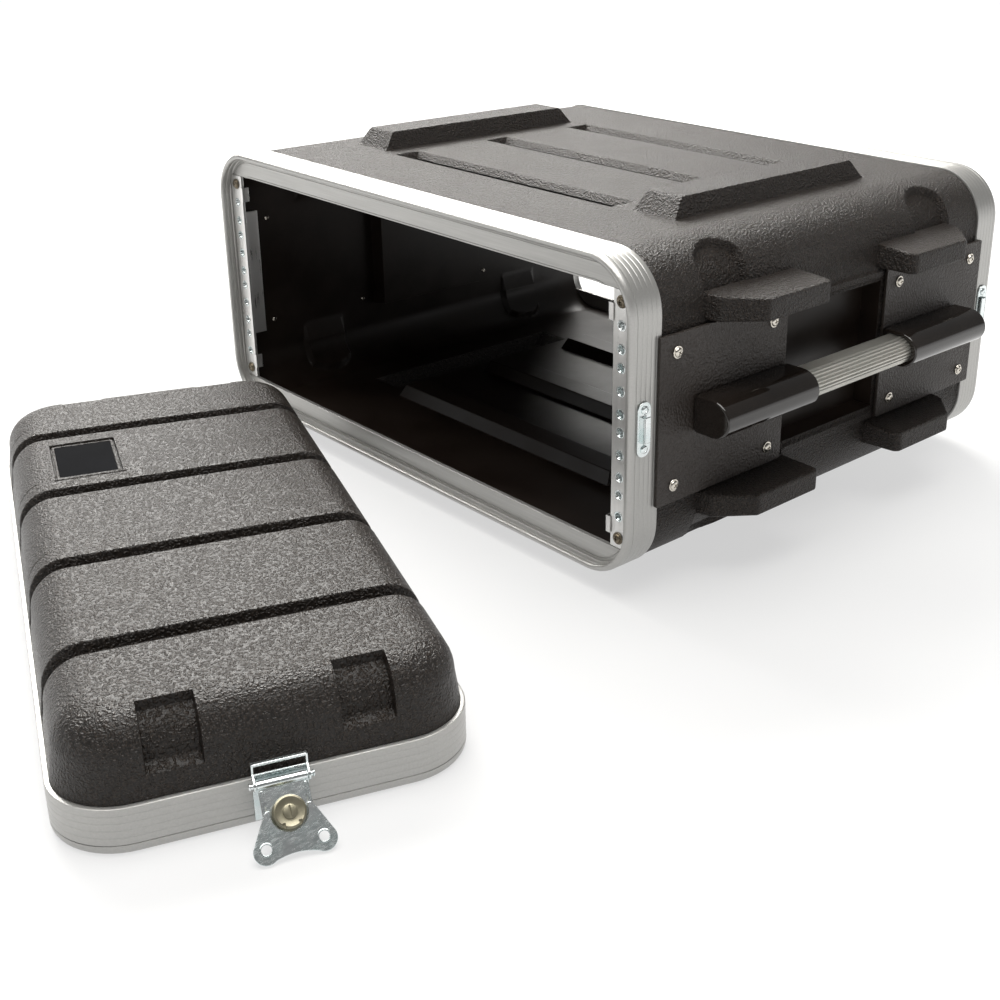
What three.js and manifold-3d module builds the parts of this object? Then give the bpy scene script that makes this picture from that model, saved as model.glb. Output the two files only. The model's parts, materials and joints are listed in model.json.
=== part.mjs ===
// A four-unit equipment rack case: a moulded ABS body between two aluminium frames, with rack rails
// in front, a bar handle on each side, and its lift-off lid lying beside it on the floor, rim down.
// Millimetres. +Z up, +Y from the front of the case to its rear, +X to the right seen from the front.
import * as THREE from "three";
import { mergeVertices } from "three/addons/utils/BufferGeometryUtils.js";
import Module from "manifold-3d";

const wasm = await Module();
wasm.setup();

// ---------------------------------------------------------------- driving dimensions
const GAP = 0.3; // between touching pieces
const CORNER_STEPS = 5; // facets in each rounded corner of a frame or shell

const CASE_W = 498; // outside of the frames, side to side
const CASE_H = 224; // outside of the frames, bottom to top
const CASE_D = 420; // front edge to rear edge
const CORNER_R = 40;
const FOOT_H = 13; // the frames' clearance above the floor, on the moulded bars
const MID_Z = FOOT_H + CASE_H / 2;

const BAND_D = 28; // depth of a frame's outer band
const BAND_T = 3;
const BEAD_T = 5; // thicker front edge of the band
const FLANGE_Y = 8; // setback of the inner flange behind the edge
const FLANGE_T = 2.5;
const FLANGE_W = 21.5; // outside of the band to the opening

const WALL = 4; // moulded shell
const SHELL_STEP = BAND_T + GAP; // how far the shell lies inside the band
const SKIN_INSET = 1.2; // the shell between the bands, below their surface
const INNER_R = 42;

const RACK_UNITS = 4;
const UNIT = 44.45;
const HOLE_OFFSETS = [6.35, 22.225, 38.1]; // the three holes of one rack unit
const HOLE_X = 232.55; // half of the 465.1 mm hole spacing
const HOLE_R = 3.1;
const RAIL_IN = 225; // half of the 450 mm clear width
const RAIL_OUT = 241.2;
const RAIL_H = RACK_UNITS * UNIT + 2;
const RAIL_LEG = { deep: 22, half: 55 }; // the rail's flange along the side wall

const BAR_X = 167; // middle of a moulded bar, on the top and on the underside
const BAR_BASE = [42, 216];
const BAR_TOP = [30, 188];
const BAR_RISE = CASE_H / 2 + FOOT_H; // middle of the case to the bar's face
const GROOVE_Y = [-98, 0, 98];
const GROOVE_TOP = [258, 26];
const GROOVE_FLOOR = [250, 12];
const GROOVE_DEEP = 6;

const POCKET = { y: 56, z: 50, floor: 232.2 }; // half sizes, and the distance of its floor from the middle
const BLOCK = { x: 281, y0: 48, y1: 141, z0: 61, z1: 79, bevel: 14 }; // moulded blocks by the handle

const PLATE = { t: 2.5, y0: 58, y1: 186, z: 59.4, screwIn: 15.7, screwZ: 46.7 };
const PLATE_X = CASE_W / 2 + GAP; // back of a handle plate
const SCREW = { r: 2, head: 4.2, top: 3.3, rise: 2.1, long: 13, hole: 2.4 };
const CAP = { y0: 57.5, y1: 153, half: 13.2, deep: 31, socket: 12 };
const TUBE = { half: 10.6, deep: 22, wall: 2.4 };

const KEEPER = { half: 19, wide: 12, t: 1.2, y: 12, hook: 4.2 };

const LID_H = 72; // floor to the top of the dome
const LID_GROOVES = [-160, -53.5, 53.5, 160];
const LID_GROOVE_W = 12;
const LID_GROOVE_DEEP = 7;
const LID_NOTCH = { y: 50, half: 14.5, x: 229, z: 48 };
const BADGE = { x: 107, y: 58, long: 60, wide: 42, deep: 1.6, t: 1.2 };
const LID_X = 51; // middle of the lid, from the middle of the case
const LID_Y = -CASE_D / 2 - 203;
const LID_TURN = THREE.MathUtils.degToRad(160);

const PIN = { r: 1.4, half: 17, x: CASE_W / 2 + 5.5, z: 27 };
const BASE = { half: 14.4, t: 1.2, z0: 3, z1: 31, top: 38, ear: 3, loop: 2.6 };
const DRAW = { half: 12.8, end: 27, t: 1.5, barrel: 2.6, rotor: 17 };
const DRAW_SLOPE = THREE.MathUtils.degToRad(46.3); // below the horizontal, wing resting on the floor
const ROTOR = { r: 8.7, n0: 1.05, n1: 8, shank: 3 };
const WING = { n: 3.3, t: 1.6, lobeY: 14.6, lobeU: 16.5, lobeR: 6.6, hole: 2.6, cut: 9.3, waist: 18.4 };

// ---------------------------------------------------------------- shapes and solids
function circle(radius, sides, x = 0, y = 0) {
  return Array.from({ length: sides }, (_, i) => {
    const a = ((i + 0.5) * 2 * Math.PI) / sides;
    return new THREE.Vector2(x + radius * Math.cos(a), y + radius * Math.sin(a));
  });
}

// A rectangle w by h round the origin, its corners rounded to r, anticlockwise.
function roundRect(w, h, r, steps = CORNER_STEPS) {
  const points = [];
  const corners = [[1, 1], [-1, 1], [-1, -1], [1, -1]];
  corners.forEach(([sx, sy], quarter) => {
    for (let i = 0; i <= steps; i++) {
      const a = ((quarter + i / steps) * Math.PI) / 2;
      const x = sx * (w / 2 - r) + r * Math.cos(a);
      points.push(new THREE.Vector2(x, sy * (h / 2 - r) + r * Math.sin(a)));
    }
  });
  return points;
}

function solidOf(geometry) {
  const bare = new THREE.BufferGeometry();
  bare.setAttribute("position", geometry.getAttribute("position"));
  bare.setIndex(geometry.index);
  const merged = mergeVertices(bare, 1e-4);
  const vertProperties = merged.attributes.position.array;
  return new wasm.Manifold(
    new wasm.Mesh({ numProp: 3, vertProperties, triVerts: new Uint32Array(merged.index.array) }),
  );
}

function geometryOf(solid) {
  const mesh = solid.getMesh();
  const geometry = new THREE.BufferGeometry();
  geometry.setAttribute("position", new THREE.BufferAttribute(new Float32Array(mesh.vertProperties), 3));
  geometry.setIndex(new THREE.BufferAttribute(new Uint32Array(mesh.triVerts), 1));
  return geometry;
}

const join = (...solids) => solids.reduce((whole, piece) => whole.add(piece));
const cut = (whole, ...tools) => tools.reduce((left, tool) => left.subtract(tool), whole);

function block(x0, x1, y0, y1, z0, z1) {
  const geometry = new THREE.BoxGeometry(x1 - x0, y1 - y0, z1 - z0);
  return solidOf(geometry.translate((x0 + x1) / 2, (y0 + y1) / 2, (z0 + z1) / 2));
}

function extruded(points, length) {
  return new THREE.ExtrudeGeometry(new THREE.Shape(points), { depth: length, bevelEnabled: false });
}

const alongZ = (points, z0, z1) => solidOf(extruded(points, z1 - z0).translate(0, 0, z0));

// The outline's x and y become X and Z.
function alongY(points, y0, y1, middle = MID_Z) {
  return solidOf(extruded(points, y1 - y0).rotateX(Math.PI / 2).translate(0, y1, middle));
}

// The outline's x and y become Y and Z.
function alongX(points, x0, x1) {
  const axes = [new THREE.Vector3(0, 1, 0), new THREE.Vector3(0, 0, 1), new THREE.Vector3(1, 0, 0)];
  const turn = new THREE.Matrix4().makeBasis(...axes);
  return solidOf(extruded(points, x1 - x0).applyMatrix4(turn).translate(x0, 0, 0));
}

// A closed skin through rounded rectangles { z, w, h, r }, from the lowest to the highest.
function loft(rings, steps = CORNER_STEPS) {
  const outlines = rings.map(({ w, h, r }) => roundRect(w, h, r, steps));
  const count = outlines[0].length;
  const position = rings.flatMap(({ z }, k) => outlines[k].flatMap((p) => [p.x, p.y, z]));
  const index = [];
  for (let k = 0; k + 1 < rings.length; k++) {
    for (let i = 0; i < count; i++) {
      const a = k * count + i;
      const b = k * count + ((i + 1) % count);
      index.push(a, b, b + count, a, b + count, a + count);
    }
  }
  const top = (rings.length - 1) * count;
  for (const [a, b, c] of THREE.ShapeUtils.triangulateShape(outlines[0], [])) {
    index.push(c, b, a, top + a, top + b, top + c);
  }
  const geometry = new THREE.BufferGeometry();
  geometry.setAttribute("position", new THREE.Float32BufferAttribute(position, 3));
  geometry.setIndex(index);
  return solidOf(geometry);
}

// A flat-topped mound from a base [w, h] to a top [w, h].
function mound(base, z0, top, z1) {
  const ring = ([w, h], z) => ({ w, h, r: 3, z });
  return loft([ring(base, z0), ring(top, z1)], 1);
}

// ---------------------------------------------------------------- materials
const finish = (color, roughness, metalness) =>
  new THREE.MeshStandardMaterial({ color, roughness, metalness });
const MATERIALS = {
  abs: finish(0x35302c, 0.6, 0),
  aluminium: finish(0xd6d3cd, 0.4, 0.9),
  rail: finish(0xc9c8c4, 0.35, 1),
  plate: finish(0x2f2c2a, 0.65, 0.2),
  cap: finish(0x0c0c0d, 0.12, 0),
  zinc: finish(0xc3c6c8, 0.3, 1),
  screw: finish(0x8f887c, 0.3, 1),
  badge: finish(0x15161a, 0.2, 0),
};

function named(name, solid, material) {
  const mesh = new THREE.Mesh(geometryOf(solid), MATERIALS[material]);
  mesh.name = name;
  return mesh;
}

const bothSides = [["left", -1], ["right", 1]];
const bothEnds = [["front", -1], ["rear", 1]];

// ---------------------------------------------------------------- aluminium frames
function frameRing(w, h, inset, inner, y0, y1) {
  const outer = roundRect(w - 2 * inset, h - 2 * inset, CORNER_R - inset);
  const r = Math.max(CORNER_R - inner, 6);
  return cut(
    alongY(outer, y0, y1, 0),
    alongY(roundRect(w - 2 * inner, h - 2 * inner, r), y0 - 1, y1 + 1, 0),
  );
}

// One frame with its edge at y = 0 and its band running to +Y, round the height z = 0.
function caseFrame() {
  const band = frameRing(CASE_W, CASE_H, 0, BAND_T, 1.5, BAND_D);
  const bead = frameRing(CASE_W, CASE_H, 0.9, BEAD_T, 0, FLANGE_Y + 1);
  const flange = frameRing(CASE_W, CASE_H, 1, FLANGE_W, FLANGE_Y, FLANGE_Y + FLANGE_T);
  const railSeat = RAIL_OUT + GAP;
  const railHalf = RAIL_H / 2 + GAP;
  const seat = block(-railSeat, railSeat, FLANGE_Y - 1, FLANGE_Y + FLANGE_T + 1, -railHalf, railHalf);
  return cut(join(band, bead, flange), seat);
}

function caseFrames() {
  return bothEnds.map(([end, side]) => {
    const mesh = named(end + "_frame", caseFrame(), "aluminium");
    mesh.position.set(0, (side * CASE_D) / 2, MID_Z);
    mesh.rotation.z = side > 0 ? Math.PI : 0;
    return mesh;
  });
}

// ---------------------------------------------------------------- moulded body
function sideBlock(side, end) {
  const foot = CASE_W / 2 - 5;
  const outline = [
    [foot, BLOCK.y0],
    [BLOCK.x - 3, BLOCK.y0],
    [BLOCK.x, BLOCK.y0 + 4],
    [BLOCK.x, BLOCK.y1 - 2 * BLOCK.bevel],
    [BLOCK.x - 4, BLOCK.y1 - 1.5 * BLOCK.bevel],
    [BLOCK.x - BLOCK.bevel, BLOCK.y1 - BLOCK.bevel / 2],
    [foot, BLOCK.y1],
  ].map(([x, y]) => new THREE.Vector2(side * x, end * y));
  if (side * end < 0) outline.reverse();
  return join(
    ...[-1, 1].map((up) => {
      const z = [up * BLOCK.z0, up * BLOCK.z1].sort((a, b) => a - b);
      return alongZ(outline, z[0] + MID_Z, z[1] + MID_Z);
    }),
  );
}

// The outside of the body: the part under the bands, the thicker part between them, bars and blocks.
function bodyOutside() {
  const under = CASE_D / 2 - FLANGE_Y - FLANGE_T - GAP;
  const between = CASE_D / 2 - BAND_D - GAP;
  const ring = (inset) => roundRect(CASE_W - 2 * inset, CASE_H - 2 * inset, CORNER_R - inset);
  const skin = join(
    alongY(ring(SHELL_STEP), -under, under),
    alongY(ring(SKIN_INSET), -between, between),
  );
  const root = CASE_H / 2 - 3;
  const bars = bothSides.flatMap(([, side]) => [
    mound(BAR_BASE, MID_Z + root, BAR_TOP, MID_Z + BAR_RISE).translate(side * BAR_X, 0, 0),
    mound(BAR_TOP, MID_Z - BAR_RISE, BAR_BASE, MID_Z - root).translate(side * BAR_X, 0, 0),
  ]);
  const blocks = bothSides.flatMap(([, side]) => bothEnds.map(([, end]) => sideBlock(side, end)));
  return join(skin, ...bars, ...blocks);
}

// The inside of the body, with the ribs that the grooves raise and the boxes behind the finger pockets.
function bodyInside() {
  const surface = CASE_H / 2 - SKIN_INSET;
  const ribTop = surface - GROOVE_DEEP - WALL;
  const outline = roundRect(CASE_W - 2 * (SHELL_STEP + WALL), CASE_H - 2 * (SHELL_STEP + WALL), INNER_R);
  const hollow = alongY(outline, -CASE_D / 2, CASE_D / 2);
  const ribX = GROOVE_TOP[0] / 2 + WALL;
  const ribY = GROOVE_TOP[1] / 2 + WALL;
  const ribs = GROOVE_Y.flatMap((y) => [
    block(-ribX, ribX, y - ribY, y + ribY, MID_Z + ribTop, MID_Z + surface),
    block(-ribX, ribX, y - ribY, y + ribY, MID_Z - surface, MID_Z - ribTop),
  ]);
  const py = POCKET.y + WALL;
  const pz = POCKET.z + WALL;
  const boxes = bothSides.map(([, side]) => {
    const x = [side * (POCKET.floor - WALL), side * CASE_W].sort((a, b) => a - b);
    return block(x[0], x[1], -py, py, MID_Z - pz, MID_Z + pz);
  });
  return cut(hollow, ...ribs, ...boxes);
}

// Where the plate screws sit on one side: y, z pairs.
function plateScrews() {
  const ys = [PLATE.y0 + PLATE.screwIn, PLATE.y1 - PLATE.screwIn];
  return bothEnds.flatMap(([end, along]) =>
    ys.flatMap((y, i) =>
      [-1, 1].map((up) => ({
        name: end + "_" + (i ? "outer" : "inner") + "_" + (up > 0 ? "upper" : "lower"),
        end,
        y: along * y,
        z: MID_Z + up * PLATE.screwZ,
      })),
    ),
  );
}

function screwHoles(side, x0, x1) {
  const x = [side * x0, side * x1].sort((a, b) => a - b);
  return plateScrews().map(({ y, z }) => alongX(circle(SCREW.hole, 8, y, z), x[0], x[1]));
}

function bodyShell() {
  const surface = CASE_H / 2 - SKIN_INSET;
  const floor = surface - GROOVE_DEEP;
  const grooves = GROOVE_Y.flatMap((y) => [
    mound(GROOVE_FLOOR, MID_Z + floor, GROOVE_TOP, MID_Z + surface + 0.01).translate(0, y, 0),
    mound(GROOVE_TOP, MID_Z - surface - 0.01, GROOVE_FLOOR, MID_Z - floor).translate(0, y, 0),
  ]);
  const pockets = bothSides.map(([, side]) => {
    const x = [side * POCKET.floor, side * CASE_W].sort((a, b) => a - b);
    return block(x[0], x[1], -POCKET.y, POCKET.y, MID_Z - POCKET.z, MID_Z + POCKET.z);
  });
  const holes = bothSides.flatMap(([, side]) => screwHoles(side, CASE_W / 2 - 12, CASE_W / 2 + 1));
  return named("body_shell", cut(bodyOutside(), bodyInside(), ...grooves, ...pockets, ...holes), "abs");
}

// ---------------------------------------------------------------- rack rails
function railHoleHeights() {
  const foot = MID_Z - (RACK_UNITS * UNIT) / 2;
  return Array.from({ length: RACK_UNITS }, (_, u) => HOLE_OFFSETS.map((z) => foot + u * UNIT + z)).flat();
}

function rackRail([name, side]) {
  const y0 = -CASE_D / 2 + FLANGE_Y;
  const z = [MID_Z - RAIL_H / 2, MID_Z + RAIL_H / 2];
  const inset = BEAD_T + GAP;
  const bay = roundRect(CASE_W - 2 * inset, CASE_H - 2 * inset, CORNER_R - inset);
  const strip = block(RAIL_IN, RAIL_OUT, y0, y0 + FLANGE_T, ...z).intersect(alongY(bay, y0 - 1, y0 + 9));
  const legZ = [MID_Z - RAIL_LEG.half, MID_Z + RAIL_LEG.half];
  const leg = block(RAIL_OUT - 2, RAIL_OUT, y0, y0 + RAIL_LEG.deep, ...legZ);
  const holes = railHoleHeights().map((h) => alongY(circle(HOLE_R, 8, HOLE_X, h), y0 - 1, y0 + 5, 0));
  const rail = cut(join(strip, leg), ...holes);
  return named("rack_rail_" + name, side > 0 ? rail : rail.mirror([1, 0, 0]), "rail");
}

// A headed screw standing on z = 0 with its shank below.
function screw(shank, shankR = SCREW.r) {
  const profile = [
    [0, -shank],
    [shankR, -shank],
    [shankR, 0],
    [SCREW.head, 0],
    [SCREW.top, SCREW.rise],
    [0, SCREW.rise],
  ].map(([r, z]) => new THREE.Vector2(r, z));
  return solidOf(new THREE.LatheGeometry(profile, 8).rotateX(Math.PI / 2));
}

function railScrews() {
  const heights = railHoleHeights();
  const ends = [["lower", heights[0]], ["upper", heights.at(-1)]];
  return bothSides.flatMap(([name, side]) =>
    ends.map(([end, z]) => {
      const mesh = named("rail_screw_" + name + "_" + end, screw(6, HOLE_R - 0.5), "screw");
      mesh.position.set(side * HOLE_X, -CASE_D / 2 + FLANGE_Y - GAP, z);
      mesh.rotation.x = Math.PI / 2;
      return mesh;
    }),
  );
}

// ---------------------------------------------------------------- handles
function handlePlate(name, side, end, along) {
  const y = [along * PLATE.y0, along * PLATE.y1].sort((a, b) => a - b);
  const x = [side * PLATE_X, side * (PLATE_X + PLATE.t)].sort((a, b) => a - b);
  const sheet = block(x[0], x[1], y[0], y[1], MID_Z - PLATE.z, MID_Z + PLATE.z);
  const holes = screwHoles(side, PLATE_X - 1, PLATE_X + PLATE.t + 1);
  return named("handle_plate_" + name + "_" + end, cut(sheet, ...holes), "plate");
}

// A D-section outline in X and Z: flat back at x = 0, round front at x = deep.
function dSection(half, deep, steps = 8) {
  const points = [new THREE.Vector2(0, half), new THREE.Vector2(0, -half)];
  const flat = deep - half * 1.15;
  for (let i = 0; i <= steps; i++) {
    const a = -Math.PI / 2 + (i * Math.PI) / steps;
    points.push(new THREE.Vector2(flat + (deep - flat) * Math.cos(a), half * Math.sin(a)));
  }
  return points;
}

function handle([name, side]) {
  const back = PLATE_X + PLATE.t + GAP;
  const tubeIn = CAP.y0 + CAP.socket - GAP;
  const lift = (CAP.deep - TUBE.deep) / 2; // the tube is centred in the caps
  const grip = cut(
    alongY(dSection(TUBE.half, TUBE.deep), -tubeIn, tubeIn).translate(lift, 0, 0),
    alongY(dSection(TUBE.half - TUBE.wall, TUBE.deep - 2 * TUBE.wall), -200, 200).translate(
      lift + TUBE.wall, 0, 0,
    ),
  );
  const socket = alongY(dSection(TUBE.half + GAP, TUBE.deep + 2 * GAP), -CAP.y0 - CAP.socket, 0);
  const cap = cut(
    alongY(dSection(CAP.half, CAP.deep), -CAP.y1, -CAP.y0),
    socket.translate(lift - GAP, 0, 0),
  );
  const place = (solid) => {
    const right = solid.translate(back, 0, 0);
    return side > 0 ? right : right.mirror([1, 0, 0]);
  };
  return [
    named("handle_tube_" + name, place(grip), "aluminium"),
    named("handle_cap_" + name + "_front", place(cap), "cap"),
    named("handle_cap_" + name + "_rear", place(cap.mirror([0, 1, 0])), "cap"),
    ...bothEnds.map(([end, along]) => handlePlate(name, side, end, along)),
  ];
}

function handleScrews() {
  return bothSides.flatMap(([name, side]) =>
    plateScrews().map((spot) => {
      const mesh = named("plate_screw_" + name + "_" + spot.name, screw(SCREW.long), "screw");
      mesh.position.set(side * (PLATE_X + PLATE.t + GAP), spot.y, spot.z);
      mesh.rotation.y = (side * Math.PI) / 2;
      return mesh;
    }),
  );
}

// ---------------------------------------------------------------- keepers for the latches
function keeper(name, side, end, along) {
  const face = CASE_W / 2 + GAP;
  const w = KEEPER.wide / 2;
  const strip = block(face, face + KEEPER.t, -w, w, MID_Z - KEEPER.half, MID_Z + KEEPER.half);
  const root = block(face, face + KEEPER.hook, -1.2, 0.6, MID_Z - 9, MID_Z + 9);
  const lip = block(face + KEEPER.hook - KEEPER.t, face + KEEPER.hook, -1.2, 4, MID_Z - 9, MID_Z + 9);
  const solid = join(strip, root, lip);
  const mesh = named("keeper_" + name + "_" + end, side > 0 ? solid : solid.mirror([1, 0, 0]), "zinc");
  mesh.position.y = along * (CASE_D / 2 - KEEPER.y);
  mesh.scale.y = along < 0 ? 1 : -1;
  return mesh;
}

// ---------------------------------------------------------------- lid, round its own middle
// The dome's outside, every surface moved inwards by inset; the moulding's rounded shoulder is stepped.
function lidDome(inset, foot) {
  const ring = (z, side, r) => ({
    z: z - (z > LID_H / 2 ? inset : 0),
    w: CASE_W - 2 * (side + inset),
    h: CASE_H - 2 * (side + inset),
    r: Math.max(r - inset, 4),
  });
  return loft([
    { ...ring(0, 2.2, CORNER_R - 2), z: foot },
    ring(LID_H - 24, 5.5, CORNER_R - 5),
    ring(LID_H - 9, 9.5, CORNER_R - 8),
    ring(LID_H - 2.4, 16, CORNER_R - 12),
    ring(LID_H, 25, CORNER_R - 18),
  ]);
}

function lidShell() {
  const top = BAND_D + GAP;
  const ring = frameRing(CASE_W, CASE_H, SHELL_STEP, SHELL_STEP + WALL, FLANGE_Y + GAP, top + 1);
  const skirt = ring.rotate([90, 0, 0]);
  const slab = (x, half, z0) => block(x - half, x + half, -CASE_H, CASE_H, z0, LID_H + 10);
  const channels = LID_GROOVES.map((x) => {
    const width = slab(x, LID_GROOVE_W / 2, top + 5);
    return cut(width, lidDome(LID_GROOVE_DEEP, top - 5));
  });
  const ribs = LID_GROOVES.map((x) =>
    cut(slab(x, LID_GROOVE_W / 2 + WALL, top + 5 - WALL), lidDome(LID_GROOVE_DEEP + WALL, -1)),
  );
  const notches = (grow) =>
    bothSides.flatMap(([, end]) =>
      [-1, 1].map((across) => {
        const x = [end * (LID_NOTCH.x - grow), end * CASE_W].sort((a, b) => a - b);
        const y = across * LID_NOTCH.y;
        const half = LID_NOTCH.half + grow;
        return block(x[0], x[1], y - half, y + half, LID_NOTCH.z - grow, LID_H + 5);
      }),
    );
  const hollow = cut(lidDome(WALL, -1), ...ribs, ...notches(WALL));
  const l = BADGE.long / 2 + 0.6;
  const w = BADGE.wide / 2 + 0.6;
  const badgeSeat = block(
    BADGE.x - l, BADGE.x + l, BADGE.y - w, BADGE.y + w, LID_H - BADGE.deep, LID_H + 5,
  );
  const outside = cut(lidDome(0, top), ...channels, ...notches(0), badgeSeat);
  return named("lid_shell", join(cut(outside, hollow), skirt), "abs");
}

function lidFrame() {
  const band = frameRing(CASE_W, CASE_H, 0, BAND_T, 1.5, BAND_D);
  const bead = frameRing(CASE_W, CASE_H, 0.9, BEAD_T, 0, FLANGE_Y);
  const lip = frameRing(CASE_W, CASE_H, 1, BAND_T + 6, FLANGE_Y - 2.5, FLANGE_Y);
  const upright = join(band, bead, lip).rotate([90, 0, 0]);
  return named("lid_frame", upright, "aluminium");
}

function lidBadge() {
  const z = LID_H - BADGE.deep + GAP;
  const points = roundRect(BADGE.long, BADGE.wide, 2, 2);
  const mesh = named("lid_badge_plate", alongZ(points, z, z + BADGE.t), "badge");
  mesh.position.set(BADGE.x, BADGE.y, 0);
  return mesh;
}

// ---------------------------------------------------------------- butterfly latch, at the lid's +X end
function latchBase() {
  const face = CASE_W / 2 + GAP;
  const back = block(face, face + BASE.t, -BASE.half, BASE.half, BASE.z0, BASE.z1);
  const cheeks = [-1, 1].flatMap((s) => {
    const y = [s * (BASE.half - BASE.t + 0.2), s * (BASE.half + 0.2)].sort((a, b) => a - b);
    return [
      alongY(circle(BASE.ear, 10, PIN.x, PIN.z), y[0], y[1], 0),
      block(face, PIN.x, y[0], y[1], PIN.z - BASE.ear, PIN.z + BASE.ear - 0.3),
      block(face, face + BASE.loop, y[0], y[1], PIN.z, BASE.top),
    ];
  });
  const bridge = block(face, face + BASE.loop, -BASE.half, BASE.half, BASE.top - 1.4, BASE.top);
  const hole = alongY(circle(PIN.r + GAP, 8, PIN.x, PIN.z), -20, 20, 0);
  return cut(join(back, ...cheeks, bridge), hole);
}

// The draw plate lies along +X from its hinge at the origin, its outer face up.
function drawPlate() {
  const w = DRAW.half;
  const plate = block(1.6, DRAW.end, -w, w, -DRAW.t / 2, DRAW.t / 2);
  const barrel = alongY(circle(DRAW.barrel, 12), -w, w, 0);
  const bore = alongY(circle(PIN.r + GAP, 12), -w - 1, w + 1, 0);
  const hole = alongZ(circle(ROTOR.shank + GAP, 12, DRAW.rotor), -5, 5);
  return cut(join(plate, barrel), bore, hole);
}

// The rotor's cup and shank, on the draw plate's axes.
function rotor() {
  const profile = [
    [0, -2],
    [ROTOR.shank, -2],
    [ROTOR.shank, ROTOR.n0],
    [ROTOR.r, ROTOR.n0],
    [ROTOR.r, ROTOR.n1 - 1.2],
    [ROTOR.r - 1.2, ROTOR.n1],
    [0, ROTOR.n1],
  ].map(([r, z]) => new THREE.Vector2(r, z));
  return solidOf(new THREE.LatheGeometry(profile, 16).rotateX(Math.PI / 2).translate(DRAW.rotor, 0, 0));
}

// The butterfly wing: two lobes joined below a round cut-out that clears the rotor's cup.
function wing() {
  const u = (x) => DRAW.rotor + x;
  const shape = new THREE.Shape();
  shape.moveTo(u(-3), 9);
  shape.lineTo(u(-3), -9);
  shape.lineTo(u(-2), -12.5);
  shape.absarc(u(WING.lobeU), -WING.lobeY, WING.lobeR, -Math.PI * 0.62, Math.PI * 0.2, false);
  shape.quadraticCurveTo(u(WING.waist), 0, u(WING.lobeU + WING.lobeR * 0.81), WING.lobeY - WING.lobeR * 0.59);
  shape.absarc(u(WING.lobeU), WING.lobeY, WING.lobeR, -Math.PI * 0.2, Math.PI * 0.62, false);
  shape.lineTo(u(-2), 12.5);
  const sheet = alongZ(shape.extractPoints(3).shape, WING.n, WING.n + WING.t);
  const holes = [-1, 1].map((s) => alongZ(circle(WING.hole, 8, u(WING.lobeU - 1), s * WING.lobeY), -1, 9));
  const open = block(u(-20), u(0), -WING.cut, WING.cut, -1, 9);
  return cut(sheet, alongZ(circle(WING.cut, 20, DRAW.rotor), -1, 9), open, ...holes);
}

function latch(name, turned) {
  const group = new THREE.Group();
  group.rotation.z = turned ? Math.PI : 0;
  const pin = alongY(circle(PIN.r, 10, PIN.x, PIN.z), -PIN.half, PIN.half, 0);
  group.add(named(name + "_latch_base", latchBase(), "zinc"));
  group.add(named(name + "_latch_pin", pin, "zinc"));
  const swung = new THREE.Group();
  swung.position.set(PIN.x, 0, PIN.z);
  swung.rotation.y = DRAW_SLOPE;
  swung.add(named(name + "_latch_draw_plate", drawPlate(), "zinc"));
  swung.add(named(name + "_latch_rotor", rotor(), "screw"));
  swung.add(named(name + "_latch_wing", wing(), "zinc"));
  group.add(swung);
  return group;
}

function lid() {
  const group = new THREE.Group();
  group.add(lidShell(), lidFrame(), lidBadge());
  group.add(latch("far", false), latch("near", true));
  group.position.set(LID_X, LID_Y, 0);
  group.rotation.z = LID_TURN;
  return group;
}

// ---------------------------------------------------------------- the whole set
const rackCase = new THREE.Group();
rackCase.add(bodyShell(), ...caseFrames(), ...bothSides.map(rackRail), ...railScrews());
rackCase.add(...bothSides.flatMap(handle), ...handleScrews());
for (const [name, side] of bothSides) {
  rackCase.add(...bothEnds.map(([end, along]) => keeper(name, side, end, along)));
}
rackCase.add(lid());

// The set's origin is on the floor, under the middle of its whole box.
const whole = new THREE.Box3().setFromObject(rackCase, true);
const middle = whole.getCenter(new THREE.Vector3());
rackCase.position.set(-middle.x, -middle.y, -whole.min.z);

const rackSet = new THREE.Group();
rackSet.add(rackCase);

export default rackSet;
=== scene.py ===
import json
import math

import bmesh
import bpy
from mathutils import Matrix, Vector


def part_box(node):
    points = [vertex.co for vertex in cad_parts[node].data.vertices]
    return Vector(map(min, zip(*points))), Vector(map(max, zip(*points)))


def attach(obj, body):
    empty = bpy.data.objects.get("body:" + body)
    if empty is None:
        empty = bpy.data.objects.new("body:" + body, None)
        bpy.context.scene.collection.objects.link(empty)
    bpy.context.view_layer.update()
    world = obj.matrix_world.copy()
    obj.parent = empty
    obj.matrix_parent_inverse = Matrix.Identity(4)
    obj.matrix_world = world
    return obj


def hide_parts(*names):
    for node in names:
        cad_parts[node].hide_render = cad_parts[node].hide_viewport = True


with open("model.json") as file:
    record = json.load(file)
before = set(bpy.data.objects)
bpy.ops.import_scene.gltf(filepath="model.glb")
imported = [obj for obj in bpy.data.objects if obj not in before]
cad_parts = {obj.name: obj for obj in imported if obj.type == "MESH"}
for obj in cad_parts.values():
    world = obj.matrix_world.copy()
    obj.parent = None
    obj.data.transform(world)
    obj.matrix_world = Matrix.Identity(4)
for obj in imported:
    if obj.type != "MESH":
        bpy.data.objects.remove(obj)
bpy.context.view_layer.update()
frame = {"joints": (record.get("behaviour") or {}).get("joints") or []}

# The looks of a moulded equipment rack case and its lift-off lid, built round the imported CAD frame.
# Every shape is made in millimetres in a local frame of its own, then scaled and set in its place.
MM = 0.001
X, Y, Z = Vector((1, 0, 0)), Vector((0, 1, 0)), Vector((0, 0, 1))
SIDES = ((-1, "left"), (1, "right"))
ENDS = ((-1, "front"), (1, "rear"))
LEVELS = ((-1, "lower"), (1, "upper"))


def at(x, y, z):
    """A translation in millimetres, for a place in metres."""
    return Matrix.Translation(Vector((x, y, z)) * MM)


def shifted(x, y, z):
    """A translation inside a shape's own frame, in millimetres."""
    return Matrix.Translation((x, y, z))


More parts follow.
